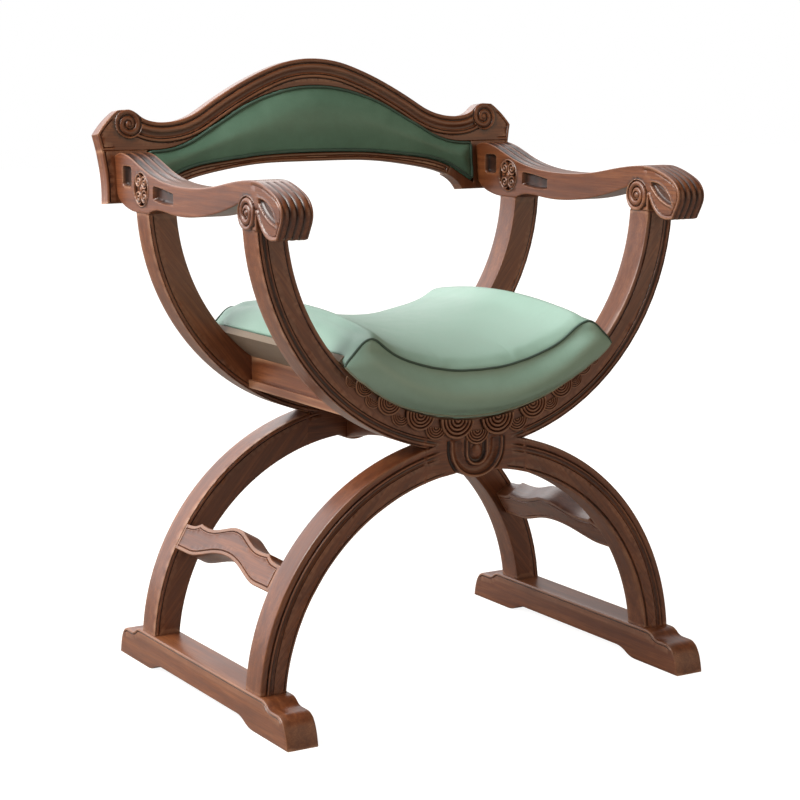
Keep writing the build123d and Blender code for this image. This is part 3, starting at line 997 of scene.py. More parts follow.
@dataclass
class CarvedBoard:
    """Flat board with rounded arrises, a carved front and back, and worked edges.

    Attributes:
        outline: Closed loop, anticlockwise, in the board's own plane.
        place: Matrix from the board to the chair; the board's third axis points out of its front.
        back_level: Level of the back face.
        front_level: Level of the front face.
        front: Relief of the front.
        back: Relief of the back.
        lines: Rows of points that the mouldings follow.
        patches: Finely carved places.
        arris: Radius of the rounded edges.
        joints: Lines along which the edge stays crisp.
        spacing: Distance between points along the outline.
        pitch: Distance between points on the plain faces.
        recess_ground_and_shade: More darkening on the front and the back, from 0 to 1, for dark grounds and
            painted shade in recesses.
        edge: Relief of the edge, from places on the outline and shares across it.
        edge_shares: Shares across the edge where the mesh has points.
        grain_turn: Direction of the grain in the board's plane, in radians.
        grain_start: Offset of the grain, so that no two boards match.
        rounded: Whether the front and the back have their arrises rounded, 1 or 0 each.
    """

    outline: Array
    place: Matrix
    back_level: float
    front_level: float
    front: Height | None = None
    back: Height | None = None
    lines: Sequence[Array] = ()
    patches: Sequence[Patch] = ()
    arris: float = 0.9 * MM
    joints: Sequence[Array] = ()
    spacing: float = 3.0 * MM
    pitch: float = 5.0 * MM
    recess_ground_and_shade: Height | None = None
    edge: Height | None = None
    edge_shares: Sequence[float] = (0.0, 0.25, 0.5, 0.75, 1.0)
    grain_turn: float = 0.0
    grain_start: Triple = (0.0, 0.0, 0.0)
    rounded: Pair = (1.0, 1.0)

    def __post_init__(self) -> None:
        """Resample the outline and lay out the points of both faces."""
        self.loop = resample(self.outline, self.spacing)
        self.ring = self.loop[:-1]
        step = np.diff(self.loop, axis=0)
        step /= np.linalg.norm(step, axis=1, keepdims=True)
        after = np.stack([step[:, 1], -step[:, 0]], axis=1)
        both = after + np.roll(after, 1, 0)
        self.mitre = 2.0 * both / np.maximum((both**2).sum(1, keepdims=True), 0.5)
        self.radius = np.full(len(self.ring), self.arris)
        for joint in self.joints:
            self.radius[distance_to(self.ring, joint) < 0.3 * MM] = 0.0
        self.flat, self.drop = self._layout()

    def _layout(self) -> tuple[Array, Array]:
        """Lay out the points of a face.

        Returns:
            The points, and how far the rounded arris lowers each.
        """
        points, drops = [self.ring], [self.radius]
        for turn in np.radians((30.0, 60.0, 90.0)):
            inward = self.radius * (1.0 - math.cos(turn))
            ring = self.ring - self.mitre * inward[:, None]
            kept = distance_to(ring, self.loop) > 0.85 * inward
            kept &= inside(ring, self.loop) & (self.radius > 0.0)
            points.append(ring[kept])
            drops.append((self.radius * (1.0 - math.sin(turn)))[kept])
        seeds = [line for line in self.lines if len(line)]
        seeds += [hex_grid(patch.centre, patch.radius, patch.pitch) for patch in self.patches]
        fine = np.vstack(seeds) if seeds else np.empty((0, 2))
        fine = self._well_inside(fine, self.arris + 0.15 * MM)
        fine = thinned(fine, 0.3 * MM)
        middle = (self.loop.min(0) + self.loop.max(0)) / 2.0
        reach = float(np.linalg.norm(np.ptp(self.loop, axis=0))) / 2.0
        coarse = self._well_inside(hex_grid(middle, reach, self.pitch), self.arris + 0.45 * self.pitch)
        if len(fine):
            coarse = coarse[nearest(coarse, fine) > 0.6 * self.pitch]
        points += [fine, coarse]
        drops += [np.zeros(len(fine)), np.zeros(len(coarse))]
        return np.vstack(points), np.concatenate(drops)

    def _well_inside(self, points: Array, margin: float) -> Array:
        """Points that lie inside the outline by a margin."""
        points = points[inside(points, self.loop)]
        return points[distance_to(points, self.loop) > margin]

    def _face(self) -> tuple[Array, Array, list[list[int]]]:
        """Triangulate a face.

        Returns:
            Its points, how far the arris lowers each, and its triangles.
        """
        count = len(self.ring)
        edges = [(i, (i + 1) % count) for i in range(count)]
        scaled = [Vector(point) for point in (self.flat / MM).tolist()]
        found, _, faces, origins, _, _ = delaunay_2d_cdt(scaled, edges, [], 0, 1e-5)
        flat = np.array([point[:] for point in found]) * MM
        drop = np.array([self.drop[origin[0]] if origin else 0.0 for origin in origins])
        triangles = np.array([face[:3] for face in faces])
        centres = flat[triangles].mean(1)
        triangles = triangles[inside(centres, self.loop)]
        return flat, drop, triangles.tolist()

    def grain_of(self, local: Array) -> Array:
        """Grain coordinates of places on the board.

        Args:
            local: Places in the board's own coordinates.

        Returns:
            Coordinates whose first axis runs along the grain.
        """
        cos, sin = math.cos(self.grain_turn), math.sin(self.grain_turn)
        along = local[:, 0] * cos + local[:, 1] * sin
        across = local[:, 1] * cos - local[:, 0] * sin
        return np.stack([along, across, local[:, 2]], axis=1) + np.array(self.grain_start)

    def _put(self, surface: Surface, local: Array, faces: list[list[int]],
             wax: Array | float) -> None:
        """Place a patch in the chair."""
        world = local @ np.array(self.place.to_3x3()).T + np.array(self.place.translation)
        surface.add(world, faces, self.grain_of(local), wax)

    def build(self, surface: Surface) -> None:
        """Add the board's faces and edges to a surface.

        Args:
            surface: The surface.
        """
        flat, drop, triangles = self._face()
        distance = distance_to(flat, self.loop)
        sides = ((self.front, self.front_level, 1.0, self.rounded[0]),
                 (self.back, self.back_level, -1.0, self.rounded[1]))
        for relief, level, sign, rounded in sides:
            height, wax = np.zeros(len(flat)), 0.0
            if relief:
                height = relief(flat, distance)
                # Hollows are darkened, partly as dark polish and partly as painted shade; joints are marked
                # to keep the painted edge highlight off them.
                wax = hollows(relief, flat, distance)
                if self.recess_ground_and_shade:
                    wax = np.maximum(wax, self.recess_ground_and_shade(flat, distance))
            wax = np.where(self._at_joint(flat), NO_WEAR_OR_HIGHLIGHT, wax)
            z = level + sign * (height - drop * rounded)
            order = triangles if sign > 0 else [face[::-1] for face in triangles]
            self._put(surface, np.column_stack([flat, z]), order, wax)
        self._edges(surface)

    def _at_joint(self, points: Array) -> Array:
        """Tell which places lie on a joint, where neither wear nor the painted edge highlight reaches."""
        return np.any([distance_to(points, joint) < 1.4 * MM for joint in self.joints], axis=0)

    def _edges(self, surface: Surface) -> None:
        """Add the strip between the two faces.

        Args:
            surface: The surface.
        """
        loop, zero = self.loop, np.zeros(len(self.loop))
        radius = np.append(self.radius, self.radius[0])
        mitre = np.vstack([self.mitre, self.mitre[:1]])
        joint = self._at_joint(loop)
        high = self.front_level - radius * self.rounded[0] + (self.front(loop, zero) if self.front else zero)
        low = self.back_level + radius * self.rounded[1] - (self.back(loop, zero) if self.back else zero)
        rows, wax_and_shade_rows = [], []
        for share in self.edge_shares:
            worked = self.edge and 0.0 < share < 1.0
            out = self.edge(loop, np.full(len(loop), share)) if worked else zero
            rows.append(np.column_stack([loop + mitre * out[:, None], low + (high - low) * share]))
            # The edge's grooves are darkened, partly as dark polish and partly as painted shade, and joints
            # are marked to keep the edge highlight off.
            wax_and_shade_rows.append(np.where(joint, NO_WEAR_OR_HIGHLIGHT, np.clip(-out / (1.2 * MM), 0.0, 1.0)))
        self._put(surface, np.vstack(rows), grid_faces(len(rows), len(loop)), np.concatenate(wax_and_shade_rows))


def carved(name: str, material: Material, crease: float, *boards: CarvedBoard) -> Piece:
    """Build boards as one object.

    Args:
        name: Name of the object.
        material: Its finish.
        crease: Angle in degrees from which an edge is sharp.
        boards: The boards.

    Returns:
        The object, linked into the scene.
    """
    surface = Surface()
    for board in boards:
        board.build(surface)
    return surface.to_object(name, material, crease)


def hex_grid(centre: Sequence[float], radius: float, pitch: float) -> Array:
    """Points of a triangular lattice inside a circle.

    Args:
        centre: Centre of the circle.
        radius: Its radius.
        pitch: Distance between neighbours.

    Returns:
        The points.
    """
    rows = int(radius / (pitch * 0.866)) + 1
    columns = int(radius / pitch) + 1
    i, j = np.meshgrid(np.arange(-rows, rows + 1), np.arange(-columns, columns + 1))
    x = (j + 0.5 * (i % 2)) * pitch
    y = i * pitch * 0.866
    points = np.column_stack([x.ravel(), y.ravel()])
    return points[np.hypot(points[:, 0], points[:, 1]) <= radius] + np.array(centre[:2])


def nearest(points: Array, others: Array) -> Array:
    """Distance from each point to the nearest of some others.

    Args:
        points: The points.
        others: The others.

    Returns:
        The distances.
    """
    found = np.empty(len(points))
    for first in range(0, len(points), 500):
        gap = points[first : first + 500, None, :] - others[None]
        found[first : first + 500] = np.sqrt((gap**2).sum(2).min(1))
    return found


def thinned(points: Array, gap: float) -> Array:
    """Leave out points that share a small square with an earlier one.

    Args:
        points: The points.
        gap: Side of the squares.

    Returns:
        The points that stay.
    """
    if not len(points):
        return points
    _, first = np.unique(np.floor(points / gap).astype(np.int64), axis=0, return_index=True)
    return points[np.sort(first)]


def offset_rows(line: Array, distances: Iterable[float], spacing: float) -> Array:
    """Points at set distances to the left of a line.

    Args:
        line: The line.
        distances: The distances.
        spacing: Distance between points along the line.

    Returns:
        Points that are no nearer to the line than they should be.
    """
    closed = bool(np.allclose(line[0], line[-1]))
    base = resample(line, spacing, closed=closed)
    inward = -normals_of(base)
    rows = []
    for distance in distances:
        row = base + inward * distance
        rows.append(row[distance_to(row, base) > 0.93 * distance - 1e-6])
    return np.vstack(rows)


def stretch_of(loop: Array, start: Sequence[float], end: Sequence[float]) -> Array:
    """Part of an anticlockwise loop between the corners nearest to two places.

    Args:
        loop: The loop, its first point repeated at the end.
        start: Place near its first corner.
        end: Place near its last corner.

    Returns:
        The open line between them.
    """
    ring = loop[:-1]
    first = int(np.argmin(np.linalg.norm(ring - np.array(start), axis=1)))
    last = int(np.argmin(np.linalg.norm(ring - np.array(end), axis=1)))
    turned = np.roll(ring, -first, 0)
    return turned[: (last - first) % len(ring) + 1]


# ---- The chair's sizes and finishes ----


@dataclass(frozen=True)
class ChairPlan:
    """Sizes that the dressed pieces share, in metres.

    Attributes:
        post_ring: Height of the centre of the posts' arc.
        post_outer: Outer radius of the posts.
        post_inner: Inner radius of the posts.
        leg_ring: Height of the centre of the legs' outer arc.
        leg_outer: Outer radius of the legs.
        leg_inner_ring: Height of the centre of the legs' inner arc.
        leg_inner: Inner radius of the legs.
        hub_half: Half the width of the hub.
        post_end: Height of the posts' ends.
        leg_end: Height of the legs' ends.
        frame_thickness: Thickness of the frames.
        front_face: Depth of the front frame's face.
        rear_face: Depth of the rear frame's front face.
        drop_half: Half the width of the hub's drop.
        drop_foot: Height of the drop's foot.
    """

    post_ring: float = 646.0 * MM
    post_outer: float = 315.0 * MM
    post_inner: float = 274.0 * MM
    leg_ring: float = 27.0 * MM
    leg_outer: float = 320.5 * MM
    leg_inner_ring: float = 21.0 * MM
    leg_inner: float = 283.0 * MM
    hub_half: float = 76.9 * MM
    post_end: float = 629.5 * MM
    leg_end: float = 49.0 * MM
    frame_thickness: float = 40.0 * MM
    front_face: float = -193.63 * MM
    rear_face: float = 124.37 * MM
    drop_half: float = 40.5 * MM
    drop_foot: float = 294.5 * MM


UPRIGHT = Matrix(((1, 0, 0, 0), (0, 0, -1, 0), (0, 1, 0, 0), (0, 0, 0, 1)))
SIDEWAYS = Matrix(((0, 0, 1, 0), (1, 0, 0, 0), (0, 1, 0, 0), (0, 0, 0, 1)))
FRONT = Vector((0.0, -1.0, 0.0))
RIGHT = Vector((1.0, 0.0, 0.0))


@dataclass
class Finishes:
    """Every material of the chair, built once."""

    walnut: Material
    along_x: Material
    ply: Material
    seat_leather: Material
    lining: Material
    back_leather: Material
    welt: Material
    pale_welt: Material

    @classmethod
    def build(cls) -> Finishes:
        """Make the materials.

        Returns:
            The materials.
        """
        plain = {"light": (0.4, 0.26, 0.14), "middle": (0.3, 0.18, 0.09), "dark": (0.19, 0.1, 0.05)}
        seat = LeatherFinish("seat_leather", (0.2, 0.325, 0.255), (0.25, 0.4, 0.325), (0.3, 0.46, 0.385))
        lining = LeatherFinish("board_lining", (0.1, 0.07, 0.045), (0.16, 0.115, 0.078), (0.23, 0.175, 0.125),
                               dimples=0.2, roughness=0.7)
        # Painted shade: the back's leather is the seat's green leather made darker, for the shade that the
        # back stands in.
        back = LeatherFinish("back_leather", (0.055, 0.12, 0.08), (0.085, 0.18, 0.125), (0.13, 0.25, 0.18))
        welt = LeatherFinish("dark_welt", (0.012, 0.032, 0.022), (0.022, 0.056, 0.04), (0.06, 0.12, 0.09))
        pale = LeatherFinish("pale_welt", (0.12, 0.14, 0.1), (0.2, 0.23, 0.17), (0.36, 0.4, 0.3))
        return cls(
            walnut=WoodFinish("walnut").material(),
            along_x=WoodFinish("walnut_along_x", layout=Layout.ALONG_X).material(),
            ply=WoodFinish("seat_board", layout=Layout.ALONG_Y, roughness=0.6, gloss=0.0, **plain).material(),
            seat_leather=seat.material(),
            lining=lining.material(),
            back_leather=back.material(),
            welt=welt.material(),
            pale_welt=pale.material(),
        )


# ---- Arc frames ----

POST_EDGE = Moulding((
    fillet(1.2), cove(1.6, 1.3), astragal(3.4, 1.2, -0.2), cove(4.2, 1.5, -0.2),
    astragal(1.8, 0.9, -0.1), cove(1.6, 1.1),
))
POST_INNER_EDGE = Moulding((astragal(5.6, 1.2, -0.9), cove(1.8, 1.2, 0.1)))
LEG_EDGE = Moulding((
    astragal(9.0, 1.8, -1.4), cove(1.3, 1.1, 0.2), astragal(2.2, 1.5, -0.2), cove(5.2, 1.6, 0.1),
    cove(1.6, 0.9),
))
LEG_INNER_EDGE = Moulding((astragal(4.0, 0.8, -1.6), cove(1.6, 1.3, 0.4), astragal(1.4, 0.5)))
REAR_EDGE = Moulding((fillet(1.0), cove(1.4, 0.9), astragal(3.6, 0.9, -0.2), cove(1.4, 0.8)))
HUB_LOOP = Moulding((cove(5.0, 2.4), astragal(4.2, 3.2, 0.2), cove(15.0, 4.2, 0.6)))
HUB_SMALL_LOOP = Moulding((astragal(3.6, 2.6, 0.6), cove(6.0, 2.6, 0.4)))


@dataclass
class ArcFrame:
    """One pair of arcs: the hub, two posts and two legs.

    Attributes:
        plan: The chair's sizes.
        finishes: The materials.
        prefix: Which frame it is, as its nodes are named.
        face: Depth of its front face.
        carved: Whether its front carries the hub's loop and the full mouldings.
        loop_top: Height where the hub's loop ends.
        small_loop: Radius of the loop inside it, and how much lower that one's middle is.
        bud: Radius and height of the bud.
    """

    plan: ChairPlan
    finishes: Finishes
    prefix: str
    face: float
    carved: bool
    loop_top: float = 349.0 * MM
    small_loop: Pair = (17.5 * MM, 7.0 * MM)
    bud: Pair = (7.6 * MM, 3.4 * MM)

    def __post_init__(self) -> None:
        """Choose the mouldings of the posts' and the legs' outer edges."""
        self.post_row, self.leg_row = (POST_EDGE, LEG_EDGE) if self.carved else (REAR_EDGE, REAR_EDGE)

    def _post_distances(self, points: Array) -> tuple[Array, Array]:
        """Distances inwards from the posts' outer and inner arcs."""
        radius = np.hypot(points[:, 0], points[:, 1] - self.plan.post_ring)
        return self.plan.post_outer - radius, radius - self.plan.post_inner

    def _leg_distances(self, points: Array) -> tuple[Array, Array]:
        """Distances inwards from the legs' outer and inner arcs."""
        plan, side, height = self.plan, points[:, 0], points[:, 1]
        return (plan.leg_outer - np.hypot(side, height - plan.leg_ring),
                np.hypot(side, height - plan.leg_inner_ring) - plan.leg_inner)

    def relief(self, points: Array, distance: Array) -> Array:
        """Relief of the frame's front, the same across all its pieces.

        Args:
            points: Places in X and Z.
            distance: Their distances from the piece's edge; not used.

        Returns:
            Heights above the face.
        """
        post_out, post_in = self._post_distances(points)
        leg_out, leg_in = self._leg_distances(points)
        side = np.abs(points[:, 0])
        fade, outer = smooth_step(side, 50.0 * MM, 70.0 * MM), side > 60.0 * MM
        on_post = (post_out >= 0) & (post_in >= 0) & (leg_out < 0.2 * MM)
        on_leg = (leg_out >= 0) & (leg_in >= 0) & (post_out < 0.2 * MM)
        post_out, post_in, leg_out, leg_in = (np.where(np.abs(gap) < 0.3 * MM, 0.0, gap)
                                              for gap in (post_out, post_in, leg_out, leg_in))
        on_post |= (post_out == 0) & outer
        on_leg |= (leg_out == 0) & outer
        height = np.where(on_post, self.post_row.height(post_out) * fade, 0.0)
        height += np.where(on_leg, self.leg_row.height(leg_out) * fade, 0.0)
        if self.carved:
            plain = smooth_step(side, 190.0 * MM, 205.0 * MM)
            height += np.where(post_in >= 0, POST_INNER_EDGE.height(post_in) * plain, 0.0)
            below = LEG_INNER_EDGE.height(leg_in) * smooth_step(side, 46.0 * MM, 52.0 * MM)
            height += np.where(on_leg | (side > 46.0 * MM), below, 0.0) * (leg_in >= 0)
            height += self._loop(points)
        return height

    def _loop(self, points: Array) -> Array:
        """The hub's raised loop with a smaller one and a bud inside it.

        Args:
            points: Places in X and Z.

        Returns:
            Heights above the face.
        """
        plan = self.plan
        middle = plan.drop_foot + plan.drop_half
        x, z = np.abs(points[:, 0]), points[:, 1]
        inward = plan.drop_half - np.where(z < middle, np.hypot(x, z - middle), x)
        height = np.where(inward > -5.0 * MM, HUB_LOOP.height(inward + 5.0 * MM), 0.0)
        low = middle - self.small_loop[1]
        ring = self.small_loop[0] - np.where(z < low, np.hypot(x, z - low), x)
        height = np.where(ring > 0, HUB_SMALL_LOOP.height(ring), height)
        bud = np.hypot(x, (z - low - 2.0 * MM) * 0.8)
        height = np.where(bud < self.bud[0], self.bud[1] * dome(bud, self.bud[0]), height)
        return height * smooth_step(self.loop_top - z, 0.0, 6.0 * MM)

    def _rows(self) -> list[Array]:
        """Lay points along every moulding of the front.

        Returns:
            Rows of points in X and Z.
        """
        plan = self.plan
        rows = [self._arc(plan.post_ring, plan.post_outer - d) for d in self.post_row.stations()]
        rows += [self._arc(plan.leg_ring, plan.leg_outer - d) for d in self.leg_row.stations()]
        if self.carved:
            rows += [self._arc(plan.post_ring, plan.post_inner + d) for d in POST_INNER_EDGE.stations()]
            rows += [self._arc(plan.leg_inner_ring, plan.leg_inner + d) for d in LEG_INNER_EDGE.stations()]
        heights = np.arange(0.27, 0.43, 0.002)
        for side in (plan.hub_half - 1.2 * MM, plan.hub_half + 1.2 * MM):
            rows += [np.column_stack([np.full(len(heights), sign * side), heights]) for sign in (-1.0, 1.0)]
        return rows

    @staticmethod
    def _arc(height: float, radius: float) -> Array:
        """Points round a whole circle about the middle plane."""
        angle = np.radians(np.arange(0.0, 360.0, 0.62))
        return np.column_stack([radius * np.sin(angle), height + radius * np.cos(angle)])

    def _board(self, node: str, grain_turn: float, patches: Sequence[Patch] = ()) -> CarvedBoard:
        """Board for one piece of the frame.

        Args:
            node: The node that it stands for.
            grain_turn: Direction of its grain in radians.
            patches: Its finely carved places.

        Returns:
            The board.
        """
        plan = self.plan
        joints = [np.array([[s * plan.hub_half, 0.2], [s * plan.hub_half, 0.5]]) for s in (-1.0, 1.0)]
        joints += [np.array([[-0.4, z], [0.4, z]]) for z in (plan.post_end, plan.leg_end)]
        return CarvedBoard(
            outline=face_outline(node, -FRONT, UPRIGHT),
            place=UPRIGHT,
            back_level=-(self.face + plan.frame_thickness),
            front_level=-self.face,
            front=self.relief,
            lines=self._rows(),
            patches=patches,
            joints=joints,
            arris=0.8 * MM,
            grain_turn=grain_turn,
            grain_start=(0.37 * len(node), 0.11, 0.07 * len(self.prefix)),
        )

    def build(self) -> None:
        """Make the hub, the right-hand pieces and their mirror images."""
        prefix, walnut = self.prefix, self.finishes.walnut
        loop = (Patch((0.0, self.plan.drop_foot + 30.0 * MM), 56.0 * MM, 0.95 * MM),) if self.carved else ()
        hub = carved(f"{prefix}_hub_carved", walnut, 50.0, self._board(f"{prefix}_hub", 0.0, loop))
        settle(hub, FRAME_WOOD, f"{prefix}_hub")
        for part, turn in (("post", 52.0), ("leg", -50.0)):
            node = f"{prefix}_right_{part}"
            settle_both(carved(f"{node}_moulded", walnut, 50.0, self._board(node, math.radians(turn))), node)


# ---- Stage ----


@dataclass
class Studio:
    """Camera, lamps, floor and a world that is brighter towards the window.

    Attributes:
        lens: Focal length of the camera in millimetres.
        window: Direction that the light of the world comes from.
        position: Where the camera stands.
        target: Where the lamps point.
    """

    lens: float = 93.19
    window: Triple = (-0.5, 0.72, 0.48)
    position: Triple = (-1.4419, -2.4152, 0.8419)
    target: Triple = (0.0, 0.0, 0.42)

    def build(self) -> None:
        """Set the stage."""
        bpy.context.scene.view_settings.view_transform = "Standard"
        self._camera()
        self._world()
        self._floor()
        self._lamp("key", (-1.7, 0.1, 2.0), 1.3, 64.0, (1.0, 0.97, 0.92))
        self._lamp("fill", (1.6, -2.8, 1.3), 2.6, 23.0, (1.0, 0.78, 0.58))
        self._lamp("rim", (0.9, 2.6, 2.4), 1.8, 16.0, (1.0, 0.98, 0.95))

    def _camera(self) -> None:
        """Camera that looks along the chair's shown side."""
        data = bpy.data.cameras.new("camera")
        data.lens, data.sensor_width, data.sensor_fit = self.lens, 36.0, "HORIZONTAL"
        camera = linked("camera", data)
        columns = ((0.85838131, -0.51300589, -0.00254665), (0.0872578, 0.14110775, 0.98614131),
                   (-0.50553695, -0.84670748, 0.16588802))
        turn = Matrix(columns).transposed().to_4x4()
        camera.matrix_world = Matrix.Translation(self.position) @ turn
        bpy.context.scene.camera = camera

    def _world(self) -> None:
        """White where the camera sees it, soft and brighter towards the window as light."""
        world = bpy.data.worlds.new("studio")
        world.use_nodes = True
        bpy.context.scene.world = world
        made = TreeWriter(world.node_tree, "ShaderNode")
        made.tree.nodes.clear()
        seen, light, mix = (made.new(kind) for kind in ("Background", "Background", "MixShader"))
        made.put(seen.inputs["Color"], WHITE)
        facing = made.new("VectorMath", operation="DOT_PRODUCT")
        made.put(facing.inputs[0], made.new("TexCoord").outputs["Generated"])
        made.put(facing.inputs[1], self.window)
        ramp = made.new("ValToRGB")
        away, towards = ramp.color_ramp.elements
        away.position, away.color = 0.2, (0.12, 0.092, 0.066, 1.0)
        towards.position, towards.color = 0.95, (1.9, 1.9, 1.95, 1.0)
        made.put(ramp.inputs["Fac"], facing.outputs["Value"])
        made.put(light.inputs["Color"], ramp.outputs["Color"])
        path, clear = made.new("LightPath"), made.new("Math", operation="MAXIMUM")
        made.put(clear.inputs[0], path.outputs["Is Camera Ray"])
        made.put(clear.inputs[1], path.outputs["Is Transmission Ray"])
        for socket, source in zip(mix.inputs, (clear, light, seen)):
            made.put(socket, source.outputs[0])
        made.put(made.new("OutputWorld").inputs["Surface"], mix.outputs[0])

    def _floor(self) -> None:
        """Pale floor that keeps the chair's shadow."""
        mesh = bpy.data.meshes.new("floor")
        reach = 12.0
        corners = [(-reach, -reach, 0), (reach, -reach, 0), (reach, reach, 0), (-reach, reach, 0)]
        mesh.from_pydata(corners, [], [(0, 1, 2, 3)])
        made = Nodes("pale_floor")
        glow = made.math("MULTIPLY", made.new("LightPath").outputs["Is Camera Ray"], 0.92)
        made.finish((0.32, 0.29, 0.26, 1.0), 0.85, {"Emission Color": WHITE, "Emission Strength": glow})
        mesh.materials.append(made.material)
        linked("floor", mesh)

    def _lamp(self, name: str, place: Triple, size: float, power: float,
              colour: Triple) -> None:
        """Square soft lamp that points at the seat.

        Args:
            name: Its name.
            place: Where it stands.
            size: Length of its sides.
            power: Its power in watts.
            colour: Its colour.
        """
        data = bpy.data.lights.new(name, "AREA")
        data.size, data.energy, data.color = size, power, colour
        lamp = linked(name, data)
        lamp.location = place
        lamp.rotation_euler = (Vector(self.target) - Vector(place)).to_track_quat("-Z", "Y").to_euler()


# ---- Rails, stretchers and runners ----


RUNNER_EDGE = Moulding((fillet(0.8), astragal(3.0, 0.8, -0.3), cove(1.6, 1.0)))


@dataclass
class Underframe:
    """Runners, side stretchers and the rails under the seat.

    Attributes:
        plan: The chair's sizes.
        finishes: The materials.
        stretcher_lean: Direction of a stretcher's outer face, up from level, in degrees.
        incised: Distance of the incised line from the stretcher's edge.
        rail_foot: Height of the bead at the foot of a seat rail.
        crease: Angle in degrees from which an edge is sharp.
    """

    plan: ChairPlan
    finishes: Finishes
    stretcher_lean: float = 30.5
    incised: float = 4.6 * MM
    rail_foot: float = 0.011
    crease: float = 42.0

    def build(self) -> None:
        """Make every piece of the underframe."""
        self._runner()
        self._stretcher()
        self._seat_rail()
        self._centre_rail()

    def _pair(self, name: str, node: str, board: CarvedBoard) -> None:
        """Build a right-hand board and its mirror image, which stand for a node and its twin."""
        settle_both(carved(name, self.finishes.walnut, self.crease, board), node)

    def _runner(self) -> None:
        """Sled runner with a bead along its upper edge."""
        low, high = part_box("right_runner")
        outline = face_outline("right_runner", RIGHT, SIDEWAYS)
        top = stretch_of(outline, (high[1] - 0.02, 0.03), (low[1] + 0.02, 0.03))

        def side(points: Array, distance: Array) -> Array:
            """Bead along the upper edge of the side."""
            return RUNNER_EDGE.height(distance_to(points, top)) * smooth_step(points[:, 1], 0.012, 0.02)

        self._pair("right_sled", "right_runner", CarvedBoard(
            outline, SIDEWAYS, low[0], high[0], side, side, arris=1.6 * MM, spacing=2.4 * MM,
            lines=[offset_rows(top, RUNNER_EDGE.stations(), 2.4 * MM)], grain_start=(0.4, 1.3, 0.2)))

    def _stretcher(self) -> None:
        """Bracket-shaped board with an incised line on its outer face."""
        lean = math.radians(self.stretcher_lean)
        place = Matrix(((0, -math.sin(lean), math.cos(lean), 0), (1, 0, 0, 0),
                        (0, math.cos(lean), math.sin(lean), 0), (0, 0, 0, 1)))
        outline = face_outline("right_stretcher", place.to_3x3() @ Vector((0, 0, 1)), place)
        back = place.inverted()
        levels = [(back @ vertex.co)[2] for vertex in bpy.data.objects["right_stretcher"].data.vertices]
        groove = Moulding((Member(Cut.FLAT, self.incised), cove(1.8, 1.5), astragal(1.6, 0.5)))

        def face(points: Array, distance: Array) -> Array:
            """Line cut a little inside the edge."""
            return groove.height(distance)

        self._pair("right_side_stretcher", "right_stretcher", CarvedBoard(
            outline, place, min(levels), max(levels), face, face, arris=1.4 * MM, spacing=2.0 * MM,
            lines=[offset_rows(resample(outline, 2.0 * MM), groove.stations(), 2.0 * MM)],
            grain_start=(2.1, 0.3, 0.9)))

    def _seat_rail(self) -> None:
        """Rail under the side of the seat with a bead along its foot."""
        plan, low = self.plan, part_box("right_seat_rail")[0]
        work = merged("right_seat_rail")
        ends = [face for face in work.faces
                if face.normal.y > 0.999 and face.calc_center_median().y < plan.rear_face + 0.001]
        corners = {(round(v.co.x, 5), round(v.co.z, 5)) for face in ends for v in face.verts}
        work.free()
        bead_line = low[2] + self.rail_foot
        head = sorted((point for point in corners if point[1] > bead_line + 0.002), key=lambda p: p[0])
        bead = max(point[0] for point in corners if point[1] < bead_line + 0.002)
        loop = [(low[0], low[2]), (bead, low[2]), (bead, bead_line), (head[-1][0], bead_line)]
        loop += [*reversed(head), loop[0]]
        board = CarvedBoard(np.array(loop), UPRIGHT, -plan.rear_face,
                            -(plan.front_face + plan.frame_thickness), arris=1.2 * MM, spacing=4.0 * MM,
                            edge_shares=tuple(np.linspace(0.0, 1.0, 9)))
        board.grain_of = lambda local: np.stack([local[:, 2], local[:, 0], local[:, 1]], axis=1) + 0.7
        self._pair("right_under_seat_rail", "right_seat_rail", board)

    def _centre_rail(self) -> None:
        """Rail between the hubs, arched below."""
        outline = face_outline("centre_rail", RIGHT, SIDEWAYS)
        half = max(vertex.co.x for vertex in bpy.data.objects["centre_rail"].data.vertices)
        board = CarvedBoard(outline, SIDEWAYS, -half, half, arris=2.2 * MM, spacing=4.0 * MM,
                            grain_start=(3.3, 0.6, 0.1))
        piece = carved("centre_rail_dressed", self.finishes.walnut, self.crease, board)
        settle(piece, FRAME_WOOD, "centre_rail")


# ---- Arms ----

NOSE_BAND = Moulding((astragal(5.0, 1.2), cove(2.0, 1.2)))


